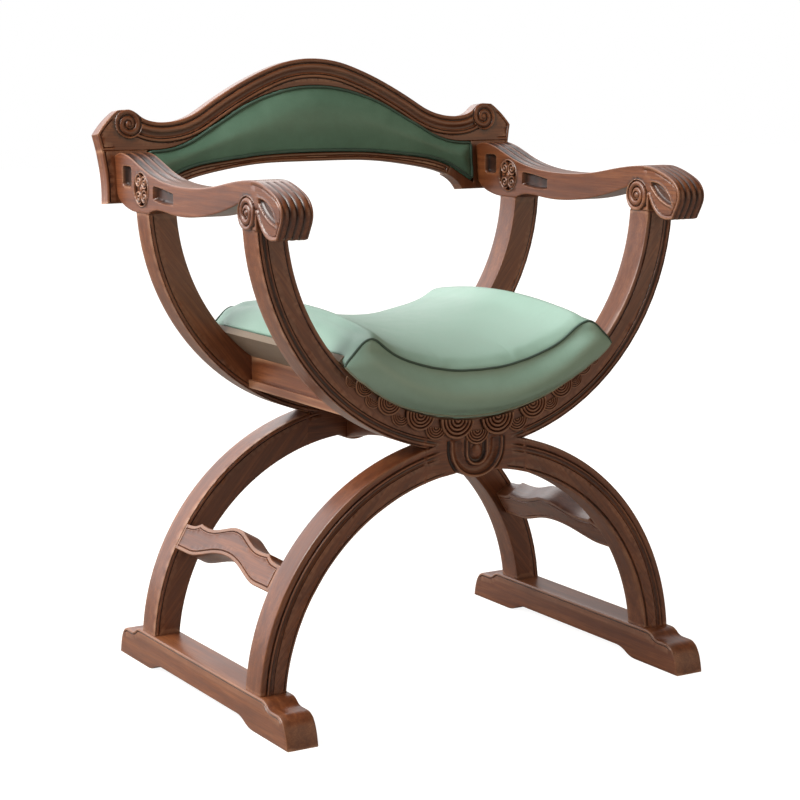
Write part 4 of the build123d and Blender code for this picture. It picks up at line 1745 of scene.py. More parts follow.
@dataclass
class ScrollArm:
    """Arm with a scroll nose, leaf, volute, sunk panel, rosette and reeds.

    Attributes:
        finishes: The materials.
        volute: Eye of the front scroll, in Y and Z.
        volute_radius: Its radius.
        rosette: Middle of the rosette.
        rosette_radius: Its radius.
        curl: Place of a curl beside the rosette's middle, and its radius.
        sunk_depth: Depth of the sunk panels.
        reeds: Number of reeds over the nose.
        flutes: Number of flutes over the tail.
        inner: How far out its inner side is.
        outer: How far out its outer side is.
    """

    finishes: Finishes
    volute: Pair = (-169.0 * MM, 650.0 * MM)
    volute_radius: float = 22.0 * MM
    rosette: Pair = (145.0 * MM, 661.0 * MM)
    rosette_radius: float = 24.0 * MM
    curl: Triple = (9.0 * MM, 10.5 * MM, 10.6 * MM)
    sunk_depth: float = 7.0 * MM
    reeds: int = 4
    flutes: int = 3
    inner: float = 274.0 * MM
    outer: float = 315.0 * MM

    def __post_init__(self) -> None:
        """Lay out the sunk panels and the leaf."""
        long_top = bezier(((0.108, 0.6680), (0.085, 0.6670), (0.060, 0.6630), (0.044, 0.6610)), 12)
        long_foot = bezier(((0.044, 0.6460), (0.062, 0.6440), (0.088, 0.6450), (0.109, 0.6490)), 12)
        self.long_panel = np.vstack([long_top, long_foot, long_top[:1]])[::-1]
        self.square_panel = rounded_box((0.1765, 0.6620), (0.2075, 0.6905), 6.0 * MM)
        upper = bezier(((-0.199, 0.6685), (-0.218, 0.6700), (-0.236, 0.6590), (-0.243, 0.6420)), 16)
        lower = bezier(((-0.243, 0.6400), (-0.232, 0.6400), (-0.212, 0.6480), (-0.199, 0.6640)), 16)
        self.leaf = np.vstack([upper, lower, upper[:1]])
        self.vein = bezier(((-0.197, 0.6670), (-0.212, 0.6650), (-0.232, 0.6540), (-0.244, 0.6400)), 16)

    def relief(self, points: Array, distance: Array) -> Array:
        """Carving of the arm's side, the same on both faces.

        Args:
            points: Places in Y and Z.
            distance: Their distances from the edge.

        Returns:
            Heights above the side.
        """
        height = self._rim(points, distance)
        for panel in (self.long_panel, self.square_panel):
            height = np.minimum(height, self._sunk(points, panel))
        height += self._leaf(points)
        height = self._scroll(points, height)
        return self._rosette(points, height)

    def _rim(self, points: Array, distance: Array) -> Array:
        """Round band and quirk that follow the nose's edge."""
        return NOSE_BAND.height(distance) * smooth_step(-points[:, 0], 176.0 * MM, 190.0 * MM)

    def _sunk(self, points: Array, panel: Array) -> Array:
        """Recess with sloping walls, and a level above all relief outside it."""
        floor = -self.sunk_depth * smooth_step(distance_to(points, panel), 0.0, 3.0 * MM)
        return np.where(inside(points, panel), floor, BEYOND)

    def recess_ground_and_shade(self, points: Array, distance: Array) -> Array:
        """Darkening of the sunk panels and the leaf: dark punched grounds with painted shadow in the panels,
        painted shade in the leaf's hollow.

        Args:
            points: Places in Y and Z.
            distance: Their distances from the edge; not used.

        Returns:
            Darkening at each place, from 0 to 1.
        """
        dark = np.zeros(len(points))
        # Painted shadow over the sunk panels' punched grounds, and painted shade in the leaf's hollow.
        panel = (0.95, 0.0, 2.0 * MM)
        for loop, amount, low, high in ((self.long_panel, *panel), (self.square_panel, *panel),
                                        (self.leaf, 0.7, 1.0 * MM, 4.0 * MM)):
            filled = inside(points, loop) * smooth_step(distance_to(points, loop), low, high)
            dark = np.maximum(dark, amount * filled)
        return dark

    def _leaf(self, points: Array) -> Array:
        """Hollow leaf on the nose with a raised vein.

        Args:
            points: Places in Y and Z.

        Returns:
            Heights above the side.
        """
        edge = distance_to(points, self.leaf)
        hollow = -5.0 * MM * np.sqrt(np.clip(edge / (3.0 * MM), 0.0, 1.0))
        vein = 0.8 * MM * np.clip(1.0 - distance_to(points, self.vein) / (1.8 * MM), 0.0, 1.0)
        bead = 1.0 * MM * np.clip(1.0 - np.abs(edge - 1.6 * MM) / (1.4 * MM), 0.0, 1.0)
        return np.where(inside(points, self.leaf), hollow + vein, bead)

    def _scroll(self, points: Array, height: Array) -> Array:
        """Spiral of the volute, proud of the side, with its eye.

        Args:
            points: Places in Y and Z.
            height: Relief outside it.

        Returns:
            Heights above the side.
        """
        x, z = points[:, 0] - self.volute[0], points[:, 1] - self.volute[1]
        radius, eye = np.hypot(x, z), 5.0 * MM
        share = spiral(radius, np.arctan2(z, x), 8.4 * MM)
        ridge = spiral_ridge(share, 0.14, 1.2 * MM, 2.4 * MM, -0.6 * MM)
        ridge = np.where(radius < eye, np.maximum(3.6 * MM * dome(radius, eye), 0.4 * MM), ridge)
        rim = smooth_step(self.volute_radius - radius, 0.0, 1.2 * MM)
        return np.where(radius < self.volute_radius, ridge * rim, height)

    def _rosette(self, points: Array, height: Array) -> Array:
        """Round medallion of four curls about a button, in a sunk ground.

        Args:
            points: Places in Y and Z.
            height: Relief outside it.

        Returns:
            Heights above the side.
        """
        x, z = points[:, 0] - self.rosette[0], points[:, 1] - self.rosette[1]
        radius, button = np.hypot(x, z), 4.4 * MM
        flower = -3.4 * MM * smooth_step(self.rosette_radius - radius, 0.0, 1.6 * MM)
        for hand_x, hand_z in ((1.0, 1.0), (1.0, -1.0), (-1.0, 1.0), (-1.0, -1.0)):
            u, v = x - hand_x * self.curl[0], z - hand_z * self.curl[1]
            reach = np.hypot(u, v)
            share = spiral(reach, np.arctan2(v, u) * hand_x * hand_z, 5.2 * MM)
            ridge = 4.6 * MM * np.sin(math.pi * share) ** 0.8 - 3.4 * MM
            flower = np.maximum(flower, np.where(reach < self.curl[2], ridge, -BEYOND))
        centre = np.maximum(flower, 3.4 * MM * dome(radius, button) - 1.6 * MM)
        flower = np.where(radius < button, centre, flower)
        rim = 1.6 * MM * np.clip(1.0 - np.abs(self.rosette_radius - 1.2 * MM - radius) / (1.2 * MM), 0.0, 1.0)
        flower = np.maximum(flower, np.where(rim > 0, rim, -BEYOND))
        return np.where(radius < self.rosette_radius, flower, height)

    def reeding(self, points: Array, shares: Array) -> Array:
        """Reeds across the top edge: over the nose, and fading forwards on the tail.

        Args:
            points: Places on the outline.
            shares: Shares across the edge.

        Returns:
            Heights above the edge.
        """
        upper = smooth_step(points[:, 1], 0.668, 0.676)
        front = smooth_step(-points[:, 0], 0.196, 0.206)
        tail = smooth_step(points[:, 0], 0.05, 0.17) * smooth_step(0.236 - points[:, 0], 0.0, 0.01) * upper
        reed = np.abs(np.sin(math.pi * self.reeds * shares)) ** 0.5 - 1.0
        flute = -np.abs(np.sin(math.pi * (self.flutes * shares))) ** 1.5
        return 2.2 * MM * reed * front + 2.4 * MM * flute * tail

    def build(self) -> None:
        """Make the right arm and its mirror image."""
        outline = section_outline("right_armrest", SIDEWAYS, self.inner + 8.0 * MM)
        rows = [offset_rows(resample(outline, 2.2 * MM), (2.5 * MM, 5.0 * MM, 6.0 * MM, 7.0 * MM), 2.2 * MM)]
        for panel in (self.long_panel, self.square_panel, self.leaf):
            rows.append(offset_rows(panel, (0.0, 1.0 * MM, 2.0 * MM, 3.0 * MM), 1.4 * MM))
        patches = (
            Patch(self.volute, self.volute_radius + 1.0 * MM, 0.9 * MM),
            Patch(self.rosette, self.rosette_radius + 1.0 * MM, 0.95 * MM),
            Patch((-0.221, 0.6560), 27.0 * MM, 1.2 * MM),
            Patch((0.070, 0.6540), 36.0 * MM, 1.8 * MM),
            Patch((0.192, 0.6760), 24.0 * MM, 1.8 * MM),
        )
        # The sunk panels and the leaf get painted shade over their grounds.
        board = CarvedBoard(
            outline, SIDEWAYS, self.inner, self.outer, self.relief, self.relief, lines=rows, patches=patches,
            recess_ground_and_shade=self.recess_ground_and_shade, arris=1.2 * MM, spacing=2.2 * MM, edge=self.reeding,
            edge_shares=tuple(np.linspace(0.0, 1.0, 33)), grain_start=(0.9, 2.7, 0.4))
        settle_both(carved("right_scroll_arm", self.finishes.walnut, 48.0, board), "right_armrest")


def rounded_box(low: Sequence[float], high: Sequence[float], radius: float) -> Array:
    """Rectangle with rounded corners.

    Args:
        low: Its lowest corner.
        high: Its highest corner.
        radius: Radius of the corners.

    Returns:
        An anticlockwise loop, its first point repeated.
    """
    points = []
    for turn, sx, sy in ((0, 1, 1), (90, -1, 1), (180, -1, -1), (270, 1, -1)):
        x, y = (high if sx > 0 else low)[0], (high if sy > 0 else low)[1]
        for angle in np.radians(np.linspace(turn, turn + 90, 6)):
            points.append((x - sx * radius + radius * math.cos(angle),
                           y - sy * radius + radius * math.sin(angle)))
    return np.array(points + points[:1])


# ---- Back ----

CREST_EDGE = Moulding((
    fillet(0.8), astragal(5.0, 1.4, -0.2), cove(2.0, 1.8), astragal(7.0, 1.6, -0.4),
    cove(7.0, 1.6, -0.2), cove(1.6, 1.6, -0.4), astragal(4.0, 1.4), cove(1.8, 1.4),
))
LOW_EDGE = Moulding((fillet(0.8), astragal(3.0, 0.9, -0.2), cove(1.6, 1.1)))


@dataclass
class RakedBack:
    """Crest, stiles, lower rail, leather panel and its cover.

    Attributes:
        finishes: The materials.
        foot: Height of the back's foot.
        face: Depth of its front face at the foot.
        rake: Its lean in degrees.
        thickness: Thickness of its frame.
        rebate: Depth of the rebate from the rear.
        half: Half of its width at the crest's corners.
        corner: Height of those corners above the foot.
        ear: Middle of the right-hand ear, and its radius.
        block: Where the plain block beyond the ear begins and where its bead is full.
        spacing: Distance between points along the frame's edges.
        crown: How far the front leather swells beyond what the simulation gives.
    """

    finishes: Finishes
    foot: float = 638.0 * MM
    face: float = 226.264 * MM
    rake: float = 6.0
    thickness: float = 22.5 * MM
    rebate: float = 12.0 * MM
    half: float = 338.0 * MM
    corner: float = 94.5 * MM
    ear: Triple = (291.0 * MM, 107.5 * MM, 20.0 * MM)
    block: Pair = (0.312, 0.318)
    spacing: float = 2.6 * MM
    crown: float = 9.0 * MM

    def __post_init__(self) -> None:
        """Find where the back stands."""
        raked = Matrix.Rotation(-math.radians(self.rake), 4, "X")
        self.place = Matrix.Translation((0.0, self.face, self.foot)) @ raked @ UPRIGHT
        self.out = self.place.to_3x3() @ Vector((0.0, 0.0, 1.0))

    def _outline(self, node: str, way: float) -> Array:
        """Outline of a node near its front or rear face in the back's plane.

        Args:
            node: Name of the node.
            way: 1 for the front, -1 for the rear.

        Returns:
            The loop, anticlockwise, its first point repeated.
        """
        if node != "crest_rail":
            return face_outline(node, self.out * way, self.place)
        return section_outline(node, self.place, -5.0 * MM if way > 0 else 4.0 * MM - self.thickness)

    def _member(self, node: str, front: Height, rows: Sequence[Array], name: str,
                grain_turn: float = 0.0, patches: Sequence[Patch] = ()) -> Piece:
        """One piece of the frame: its front with mouldings and its rebated rear.

        Args:
            node: The node that it stands for.
            front: Relief of its front.
            rows: Rows of points that its mouldings follow.
            name: Name of the piece.
            grain_turn: Direction of its grain in radians.
            patches: Its finely carved places.

        Returns:
            The piece.
        """
        step = -(self.thickness - self.rebate)
        start = (0.21 * len(name), 0.5, 0.3)
        shared = {"grain_turn": grain_turn, "grain_start": start, "spacing": self.spacing}
        return carved(
            name, self.finishes.walnut, 44.0,
            CarvedBoard(self._outline(node, 1.0), self.place, step, 0.0, front, lines=rows, patches=patches,
                        rounded=(1.0, 0.0), arris=1.0 * MM, **shared),
            CarvedBoard(self._outline(node, -1.0), self.place, -self.thickness, step, rounded=(0.0, 1.0),
                        arris=1.4 * MM, **shared))

    def _moulded(self, line: Array, row: Moulding, steps: int, closed: bool = True) -> Array:
        """Points for a moulding along a line, with steps across each bead or hollow."""
        return offset_rows(resample(line, self.spacing, closed=closed), row.stations(steps), self.spacing)

    def _crest_relief(self, points: Array, distance: Array) -> Array:
        """Mouldings under the crest's edge and the scrolls in its ears.

        Args:
            points: Places in the back's plane.
            distance: Their distances from the crest's edge.

        Returns:
            Heights above the face.
        """
        side, eye = np.abs(points[:, 0]), 4.6 * MM
        height = CREST_EDGE.height(distance_to(points, self.crest_line))
        height *= smooth_step(self.ear[0] - side, -2.0 * MM, 8.0 * MM)
        height += LOW_EDGE.height(distance) * smooth_step(side, *self.block) * (side > self.block[0])
        x, y = side - self.ear[0], points[:, 1] - self.ear[1]
        radius = np.hypot(x, y)
        share = spiral(radius, np.arctan2(y, -x), 9.0 * MM)
        scroll = spiral_ridge(share, 0.16, -0.4 * MM, 2.0 * MM, -1.2 * MM)
        scroll = np.where(radius < eye, 2.6 * MM * dome(radius, eye), scroll)
        return np.where(radius < self.ear[2], scroll, height)

    def build(self) -> None:
        """Make the back's pieces."""
        crest = self._outline("crest_rail", 1.0)
        self.crest_line = stretch_of(crest, (self.half, self.corner), (-self.half, self.corner))
        ogee = self.crest_line[np.abs(self.crest_line[:, 0]) < self.ear[0]]
        rows = [self._moulded(ogee, CREST_EDGE, 5, closed=False), self._moulded(crest, LOW_EDGE, 4)]
        ears = self.ear[2] + 1.0 * MM
        patches = [Patch((s * self.ear[0], self.ear[1]), ears, 0.95 * MM) for s in (-1.0, 1.0)]
        piece = self._member("crest_rail", self._crest_relief, rows, "crest_carved", patches=patches)
        settle(piece, FRAME_WOOD, "crest_rail")
        self._low_rail()
        self._stiles()
        self._leather()

    def _low_rail(self) -> None:
        """Arched rail under the leather."""

        def relief(points: Array, distance: Array) -> Array:
            """Bead along both edges."""
            return LOW_EDGE.height(distance)

        rows = [self._moulded(self._outline("back_lower_rail", 1.0), LOW_EDGE, 4)]
        piece = self._member("back_lower_rail", relief, rows, "lower_rail_beaded")
        settle(piece, FRAME_WOOD, "back_lower_rail")

    def _stiles(self) -> None:
        """Right-hand stile and its mirror image."""
        outline = self._outline("right_back_stile", 1.0)
        side = stretch_of(outline, (self.half - 8.0 * MM, 0.0), (self.half - 3.0 * MM, 71.4 * MM))

        def relief(points: Array, distance: Array) -> Array:
            """Bead along the outer edge."""
            return LOW_EDGE.height(distance_to(points, side))

        rows = [self._moulded(side, LOW_EDGE, 4, closed=False)]
        settle_both(self._member("right_back_stile", relief, rows, "right_stile_beaded", math.pi / 2),
                    "right_back_stile")

    def _across(self, points: Array) -> Array:
        """Places in the back's own coordinates."""
        back = np.array(self.place.inverted())
        return points @ back[:3, :3].T + back[:3, 3]

    def _leather(self) -> None:
        """Puffed front panel with its dark welt, and the leather cover behind."""
        loop = self._outline("back_pad", 1.0)

        def free(points: Array, width: float, low: float, high: float, way: float) -> Array:
            """How free the leather is to move.

            Args:
                points: Places in the chair.
                width: Distance from the rim where it is fully free.
                low: Level on the side that is held.
                high: Level where it is fully free.
                way: 1 for the front, -1 for the rear.

            Returns:
                Freedom from 0 to 1.
            """
            local = self._across(points)
            rim = smooth_step(distance_to(local[:, :2], loop), 3.0 * MM, width)
            return rim * smooth_step(way * local[:, 2], low, high)

        def crowned(points: Array) -> Array:
            """Swell the front further away from its rim.

            Args:
                points: Places in the chair.

            Returns:
                The places after it.
            """
            local = self._across(points)
            swell = self.crown * np.sqrt(smooth_step(distance_to(local[:, :2], loop), 4.0 * MM, 44.0 * MM))
            swell *= smooth_step(local[:, 2], -6.0 * MM, 0.0)
            return points + swell[:, None] * np.array(self.out)

        full = Puffed("back_pad", self.finishes.back_leather, voxel=3.6 * MM, cap=8.0 * MM, fill=0.7)
        pad = full.build("back_leather_front", "back_leather",
                         lambda points: free(points, 26.0 * MM, -6.0 * MM, 0.0, 1.0), crowned)
        thin = Puffed("back_cover", self.finishes.back_leather, voxel=2.4 * MM, cap=1.6 * MM, fill=0.3)
        cover = thin.build("back_leather_rear", "back_leather",
                           lambda points: free(points, 20.0 * MM, 19.0 * MM, 21.0 * MM, -1.0))
        inner = offset_rows(resample(loop, 4.0 * MM), (2.6 * MM,), 4.0 * MM)
        turn, start = np.array(self.place.to_3x3()), np.array(self.place.translation)
        for piece, level, name in ((pad, 3.0 * MM, "back_front_welt"), (cover, -22.0 * MM, "back_rear_welt")):
            local = np.column_stack([inner, np.full(len(inner), level)])
            line = on_surface(piece, local @ turn.T + start, 0.8 * MM)
            settle(Piping(name, 2.0 * MM, self.finishes.welt).along([line], closed=True), "back_leather")
        dress("back_panel", self.finishes.ply)


# ---- Geometry Nodes ----


class NodeTree(TreeWriter):
    """Geometry Nodes tree with named inputs, run once on a mesh or curve."""

    def __init__(self, name: str) -> None:
        """Start a tree with one geometry in and one out.

        Args:
            name: Name of the tree.
        """
        super().__init__(bpy.data.node_groups.new(name, "GeometryNodeTree"))
        for way in ("INPUT", "OUTPUT"):
            self.tree.interface.new_socket("Geometry", in_out=way, socket_type="NodeSocketGeometry")
        self.source, self.result = self.new("NodeGroupInput"), self.new("NodeGroupOutput")
        self.values: dict[str, object] = {}

    def input(self, name: str, kind: str, value: object) -> Socket:
        """Add a named input.

        Args:
            name: Its name.
            kind: Its socket type without the NodeSocket prefix.
            value: The value that the piece uses.

        Returns:
            The socket inside the tree.
        """
        made = self.tree.interface.new_socket(name, in_out="INPUT", socket_type="NodeSocket" + kind)
        self.values[made.identifier] = value
        return self.source.outputs[name]

    def math(self, kind: str, first: object, second: object = 0.0) -> Socket:
        """Combine two numbers.

        Args:
            kind: The operation.
            first: The first number or socket.
            second: The second number or socket.

        Returns:
            The result.
        """
        node = self.new("ShaderNodeMath", operation=kind)
        self.put(node.inputs[0], first)
        self.put(node.inputs[1], second)
        return node.outputs[0]

    def vector(self, x: object = 0.0, y: object = 0.0, z: object = 0.0) -> Socket:
        """Combine three numbers or sockets into a vector.

        Args:
            x: Its first part.
            y: Its second part.
            z: Its third part.

        Returns:
            The vector.
        """
        node = self.new("ShaderNodeCombineXYZ")
        for socket, value in zip(node.inputs, (x, y, z)):
            self.put(socket, value)
        return node.outputs[0]

    def close(self, geometry: Socket, material: Material) -> None:
        """Realise the instances, set the material and end the tree.

        Args:
            geometry: The geometry.
            material: Its finish.
        """
        real, painted = self.new("GeometryNodeRealizeInstances"), self.new("GeometryNodeSetMaterial")
        self.put(real.inputs[0], geometry)
        self.put(painted.inputs["Geometry"], real.outputs[0])
        self.put(painted.inputs["Material"], material)
        self.put(self.result.inputs[0], painted.outputs[0])

    def run(self, carrier: Piece, name: str, material: Material) -> Piece:
        """Apply the tree and keep its result as a plain mesh.

        Args:
            carrier: Object whose geometry goes in; it is deleted.
            name: Name of the result.
            material: Its finish.

        Returns:
            The new object.
        """
        modifier = carrier.modifiers.new(self.tree.name, "NODES")
        modifier.node_group = self.tree
        for identifier, value in self.values.items():
            modifier[identifier] = value
        graph = bpy.context.evaluated_depsgraph_get()
        mesh = bpy.data.meshes.new_from_object(carrier.evaluated_get(graph), depsgraph=graph)
        carrier.modifiers.remove(modifier)
        data = carrier.data
        bpy.data.objects.remove(carrier)
        (bpy.data.meshes if isinstance(data, bpy.types.Mesh) else bpy.data.curves).remove(data)
        return finish_mesh(mesh, name, material, 40.0)


@dataclass
class Piping:
    """Round welt sewn along a line.

    Attributes:
        name: Name of the piece.
        radius: Its radius.
        material: Its finish.
    """

    name: str
    radius: float
    material: Material

    def along(self, lines: Sequence[Array], closed: bool = False) -> Piece:
        """Run the welt along lines.

        Args:
            lines: The lines, in the chair's coordinates.
            closed: Whether each line is a loop.

        Returns:
            The welt.
        """
        curve = bpy.data.curves.new(self.name, "CURVE")
        curve.dimensions = "3D"
        for line in lines:
            spline = curve.splines.new("POLY")
            spline.points.add(len(line) - 1)
            spline.points.foreach_set("co", np.column_stack([line, np.ones(len(line))]).ravel())
            spline.use_cyclic_u = closed
        tree = NodeTree("welt")
        radius = tree.input("Radius", "Float", self.radius)
        spacing = tree.input("Spacing", "Float", 3.0 * MM)
        even = tree.new("GeometryNodeResampleCurve", mode="LENGTH")
        ring, tube = tree.new("GeometryNodeCurvePrimitiveCircle"), tree.new("GeometryNodeCurveToMesh")
        for socket, value in (
            (even.inputs["Curve"], tree.source.outputs[0]), (even.inputs["Length"], spacing),
            (ring.inputs["Resolution"], 12), (ring.inputs["Radius"], radius),
            (tube.inputs["Curve"], even.outputs[0]), (tube.inputs["Profile Curve"], ring.outputs[0]),
            (tube.inputs["Fill Caps"], True),
        ):
            tree.put(socket, value)
        tree.close(tube.outputs[0], self.material)
        return tree.run(linked(self.name + "_path", curve), self.name, self.material)


@dataclass
class ScallopBand:
    """Band of imbricated scallops along the inner edge of the front posts.

    Attributes:
        plan: The chair's sizes.
        material: Their finish.
        rings: Ridges in one scallop.
        ridge: Height of a ridge at unit size, where a scallop's radius is 1.
        base: Height of the hollows between the ridges at unit size.
        sunk: Depth of a scallop's back in the wood at unit size.
        angle: Angle in degrees from one scallop to the next, and how much less each next one is.
    """

    plan: ChairPlan
    material: Material
    rings: int = 5
    ridge: float = 0.125
    base: float = 0.045
    sunk: float = 0.03
    angle: Pair = (13.37, 0.743)

    def _scallop(self) -> Piece:
        """One half-round scallop of unit radius, its straight side up and its face to the front.

        Returns:
            The scallop, which the tree takes in.
        """
        shares = np.linspace(0.0, self.rings, self.rings * 4 + 1)
        radii = shares / self.rings
        level = self.base + self.ridge * np.sqrt(np.abs(np.sin(math.pi * shares)))
        turns = np.radians(np.linspace(-90.0, 90.0, 21))
        top = [(r * math.sin(t), -h, -r * math.cos(t)) for r, h in zip(radii, level) for t in turns]
        rim = [(math.sin(t), self.sunk, -math.cos(t)) for t in turns]
        spine = [(side * r, self.sunk, 0.0) for side in (-1.0, 1.0) for r in radii]
        # The hollows between the ridges and the scallop's sunk back and rim are darkened: partly painted
        # shade, partly dark polish.
        wax = np.repeat(np.where(np.arange(len(radii)) % 4 == 0, 1.0, 0.0), len(turns))
        count, columns = len(radii), len(turns)
        rim_at = count * columns
        left_at, right_at, last = rim_at + columns, rim_at + columns + count, rim_at - columns
        faces: list[Sequence[int]] = [tuple(reversed(face)) for face in grid_faces(count, columns)]
        faces += [(last + j, last + j + 1, rim_at + j + 1, rim_at + j) for j in range(columns - 1)]
        for i in range(count - 1):
            faces.append((i * columns, (i + 1) * columns, left_at + i + 1, left_at + i))
            faces.append(((i + 2) * columns - 1, (i + 1) * columns - 1, right_at + i, right_at + i + 1))
        faces.append([rim_at + j for j in range(columns)] + [right_at + i for i in range(count - 2, -1, -1)]
                     + [left_at + i for i in range(1, count - 1)])
        points, surface = np.array(top + rim + spine), Surface()
        surface.add(points, faces, points * 0.02, np.concatenate([wax, np.ones(len(rim) + len(spine))]))
        return surface.to_object("scallop", self.material, 60.0)

    def _row(self, name: str, count: int, first: float, taper: float, sink: float, sink_taper: float,
             lift: float) -> Piece:
        """Row of scallops that shrink away from the middle.

        Args:
            name: Name of the row.
            count: Number of scallops.
            first: Radius that a scallop in the very middle would have.
            taper: How much smaller each next one is.
            sink: Distance of a middle scallop's centre outside the inner arc.
            sink_taper: How much less each next one sinks.
            lift: How far the row stands in front of the face.

        Returns:
            The row.
        """
        tree = NodeTree("scallop_row")
        number = tree.input("Count", "Int", count)
        gain = tree.input("Angle gain", "Float", math.radians(self.angle[0]))
        ease = tree.input("Angle ease", "Float", math.radians(self.angle[1]))
        arc = tree.input("Arc radius", "Float", self.plan.post_inner)
        centre = tree.input("Arc height", "Float", self.plan.post_ring)
        face = tree.input("Face depth", "Float", self.plan.front_face - lift)
        size = tree.input("Scallop radius", "Float", first)
        shrink = tree.input("Taper", "Float", taper)
        deep = tree.input("Sink", "Float", sink)
        rise = tree.input("Sink taper", "Float", sink_taper)
        index = tree.new("GeometryNodeInputIndex").outputs[0]
        place = tree.math("SUBTRACT", index, tree.math("MULTIPLY", tree.math("SUBTRACT", number, 1.0), 0.5))
        away, side = tree.math("ABSOLUTE", place), tree.math("SIGN", place)
        turned = tree.math("SUBTRACT", tree.math("MULTIPLY", away, gain),
                           tree.math("MULTIPLY", tree.math("MULTIPLY", away, away), ease))
        angle = tree.math("MULTIPLY", turned, side)
        radius = tree.math("ADD", arc, tree.math("SUBTRACT", deep, tree.math("MULTIPLY", away, rise)))
        x = tree.math("MULTIPLY", radius, tree.math("SINE", angle))
        z = tree.math("SUBTRACT", centre, tree.math("MULTIPLY", radius, tree.math("COSINE", angle)))
        points = tree.new("GeometryNodePoints")
        tree.put(points.inputs["Count"], number)
        tree.put(points.inputs["Position"], tree.vector(x, face, z))
        scale = tree.math("SUBTRACT", size, tree.math("MULTIPLY", away, shrink))
        spread = tree.new("GeometryNodeInstanceOnPoints")
        tree.put(spread.inputs["Points"], points.outputs[0])
        tree.put(spread.inputs["Instance"], tree.source.outputs[0])
        tree.put(spread.inputs["Rotation"], tree.vector(0.0, tree.math("MULTIPLY", angle, -1.0), 0.0))
        tree.put(spread.inputs["Scale"], tree.vector(scale, scale, scale))
        tree.close(spread.outputs[0], self.material)
        return tree.run(self._scallop(), name, self.material)

    def build(self) -> None:
        """Make the two rows of the band."""
        rows = (
            ("scallops_upper", 8, 28.0 * MM, 4.0 * MM, 0.0, 0.0, 0.9 * MM),
            ("scallops_lower", 9, 19.0 * MM, 2.2 * MM, 15.0 * MM, 2.6 * MM, 0.0),
        )
        for row in rows:
            settle(self._row(*row), FRAME_WOOD)


# ---- Soft pieces ----


@dataclass
class Puffed:
    """Leather pad swollen from its plain solid by a cloth simulation.

    Attributes:
        node: The solid that it replaces.
        material: Its finish.
        voxel: Size of the remesh.
        pressure: Pressure inside it.
        cap: Furthest that a point may move.
        frames: Frames that are simulated.
        fill: How tight it is, from 0 to 1; not used.
    """

    node: str
    material: Material
    voxel: float = 5.0 * MM
    pressure: float = 4.0
    cap: float = 9.0 * MM
    frames: int = 20
    fill: float = 0.8

    def build(self, name: str, slot: str, free: Callable[[Array], Array],
              shaped: Callable[[Array], Array] | None = None) -> Piece:
        """Swell the pad and let it replace its solid.

        Args:
            name: Name of the pad.
            slot: The record's material slot.
            free: How free each point is to move, from 0 to 1, from points in the chair's coordinates.
            shaped: Change of shape after the swelling.

        Returns:
            The pad.
        """
        mesh = bpy.data.objects[self.node].data.copy()
        mesh.name = name
        pad = linked(name, mesh)
        self._remesh(pad)
        rest = coordinates(pad.data)
        freedom = np.clip(free(rest), 0.0, 1.0)
        self._swell(pad, freedom)
        moved = coordinates(pad.data) - rest
        length = np.linalg.norm(moved, axis=1)
        limit = self.cap * freedom
        share = np.where(length > 1e-9, np.minimum(length, limit) / np.maximum(length, 1e-9), 0.0)
        points = rest + moved * share[:, None]
        if shaped:
            points = shaped(points)
        pad.data.vertices.foreach_set("co", points.astype(np.float32).ravel())
        self._smooth(pad)
        piece = finish_mesh(pad.data, name + "_pad", self.material, 70.0)
        bpy.data.objects.remove(pad)
        settle(piece, slot, self.node)
        return piece

    def _remesh(self, pad: Piece) -> None:
        """Give the pad an even mesh.

        Args:
            pad: The pad.
        """
        modifier = pad.modifiers.new("even", "REMESH")
        modifier.mode, modifier.voxel_size = "VOXEL", self.voxel
        bake(pad)

    def _swell(self, pad: Piece, freedom: Array) -> None:
        """Run the cloth simulation and keep its last frame.

        Args:
            pad: The pad.
            freedom: How free each of its points is to move, from 0 to 1.
        """
        group = pad.vertex_groups.new(name="held")
        for index, value in enumerate(freedom):
            group.add([index], float(1.0 - value), "REPLACE")
        cloth = pad.modifiers.new("leather", "CLOTH")
        settings = cloth.settings
        settings.quality, settings.mass = 6, 0.35
        settings.use_pressure, settings.uniform_pressure_force = True, self.pressure
        settings.tension_stiffness = settings.compression_stiffness = 22.0
        settings.shear_stiffness, settings.bending_stiffness = 12.0, 1.6
        settings.effector_weights.gravity = 0.0
        settings.vertex_group_mass = group.name
        cloth.collision_settings.use_collision = False
        cloth.point_cache.frame_start, cloth.point_cache.frame_end = 1, self.frames
        for frame in range(1, self.frames + 1):
            bpy.context.scene.frame_set(frame)
        bake(pad)
        bpy.context.scene.frame_set(1)

    def _smooth(self, pad: Piece) -> None:
        """Ease the voxel steps and subdivide once.

        Args:
            pad: The pad.
        """
        ease = pad.modifiers.new("ease", "SMOOTH")
        ease.factor, ease.iterations = 0.5, 4
        finer = pad.modifiers.new("finer", "SUBSURF")
        finer.levels = finer.render_levels = 1
        bake(pad)


def coordinates(mesh: bpy.types.Mesh) -> Array:
    """Read the places of a mesh's points.

    Args:
        mesh: The mesh.

    Returns:
        The places, one row each.
    """
    found = np.empty(len(mesh.vertices) * 3, np.float32)
    mesh.vertices.foreach_get("co", found)
    return found.reshape(-1, 3).astype(float)


def bake(piece: Piece) -> None:
    """Apply all of a piece's modifiers.

    Args:
        piece: The piece.
    """
    graph = bpy.context.evaluated_depsgraph_get()
    mesh = bpy.data.meshes.new_from_object(piece.evaluated_get(graph), depsgraph=graph)
    piece.modifiers.clear()
    piece.vertex_groups.clear()
    piece.data = mesh


def on_surface(piece: Piece, line: Array, lift: float) -> Array:
    """Lay a line on a piece's surface.

    Args:
        piece: The piece.
        line: Places near the surface.
        lift: Height of the line above it.

    Returns:
        The line, lifted along the surface's normals.
    """
    tree = BVHTree.FromPolygons([vertex.co for vertex in piece.data.vertices],
                                [polygon.vertices[:] for polygon in piece.data.polygons])
    laid = []
    for point in line:
        near, normal, _, _ = tree.find_nearest(Vector(point))
        laid.append(near + normal * lift)
    return np.array(laid)


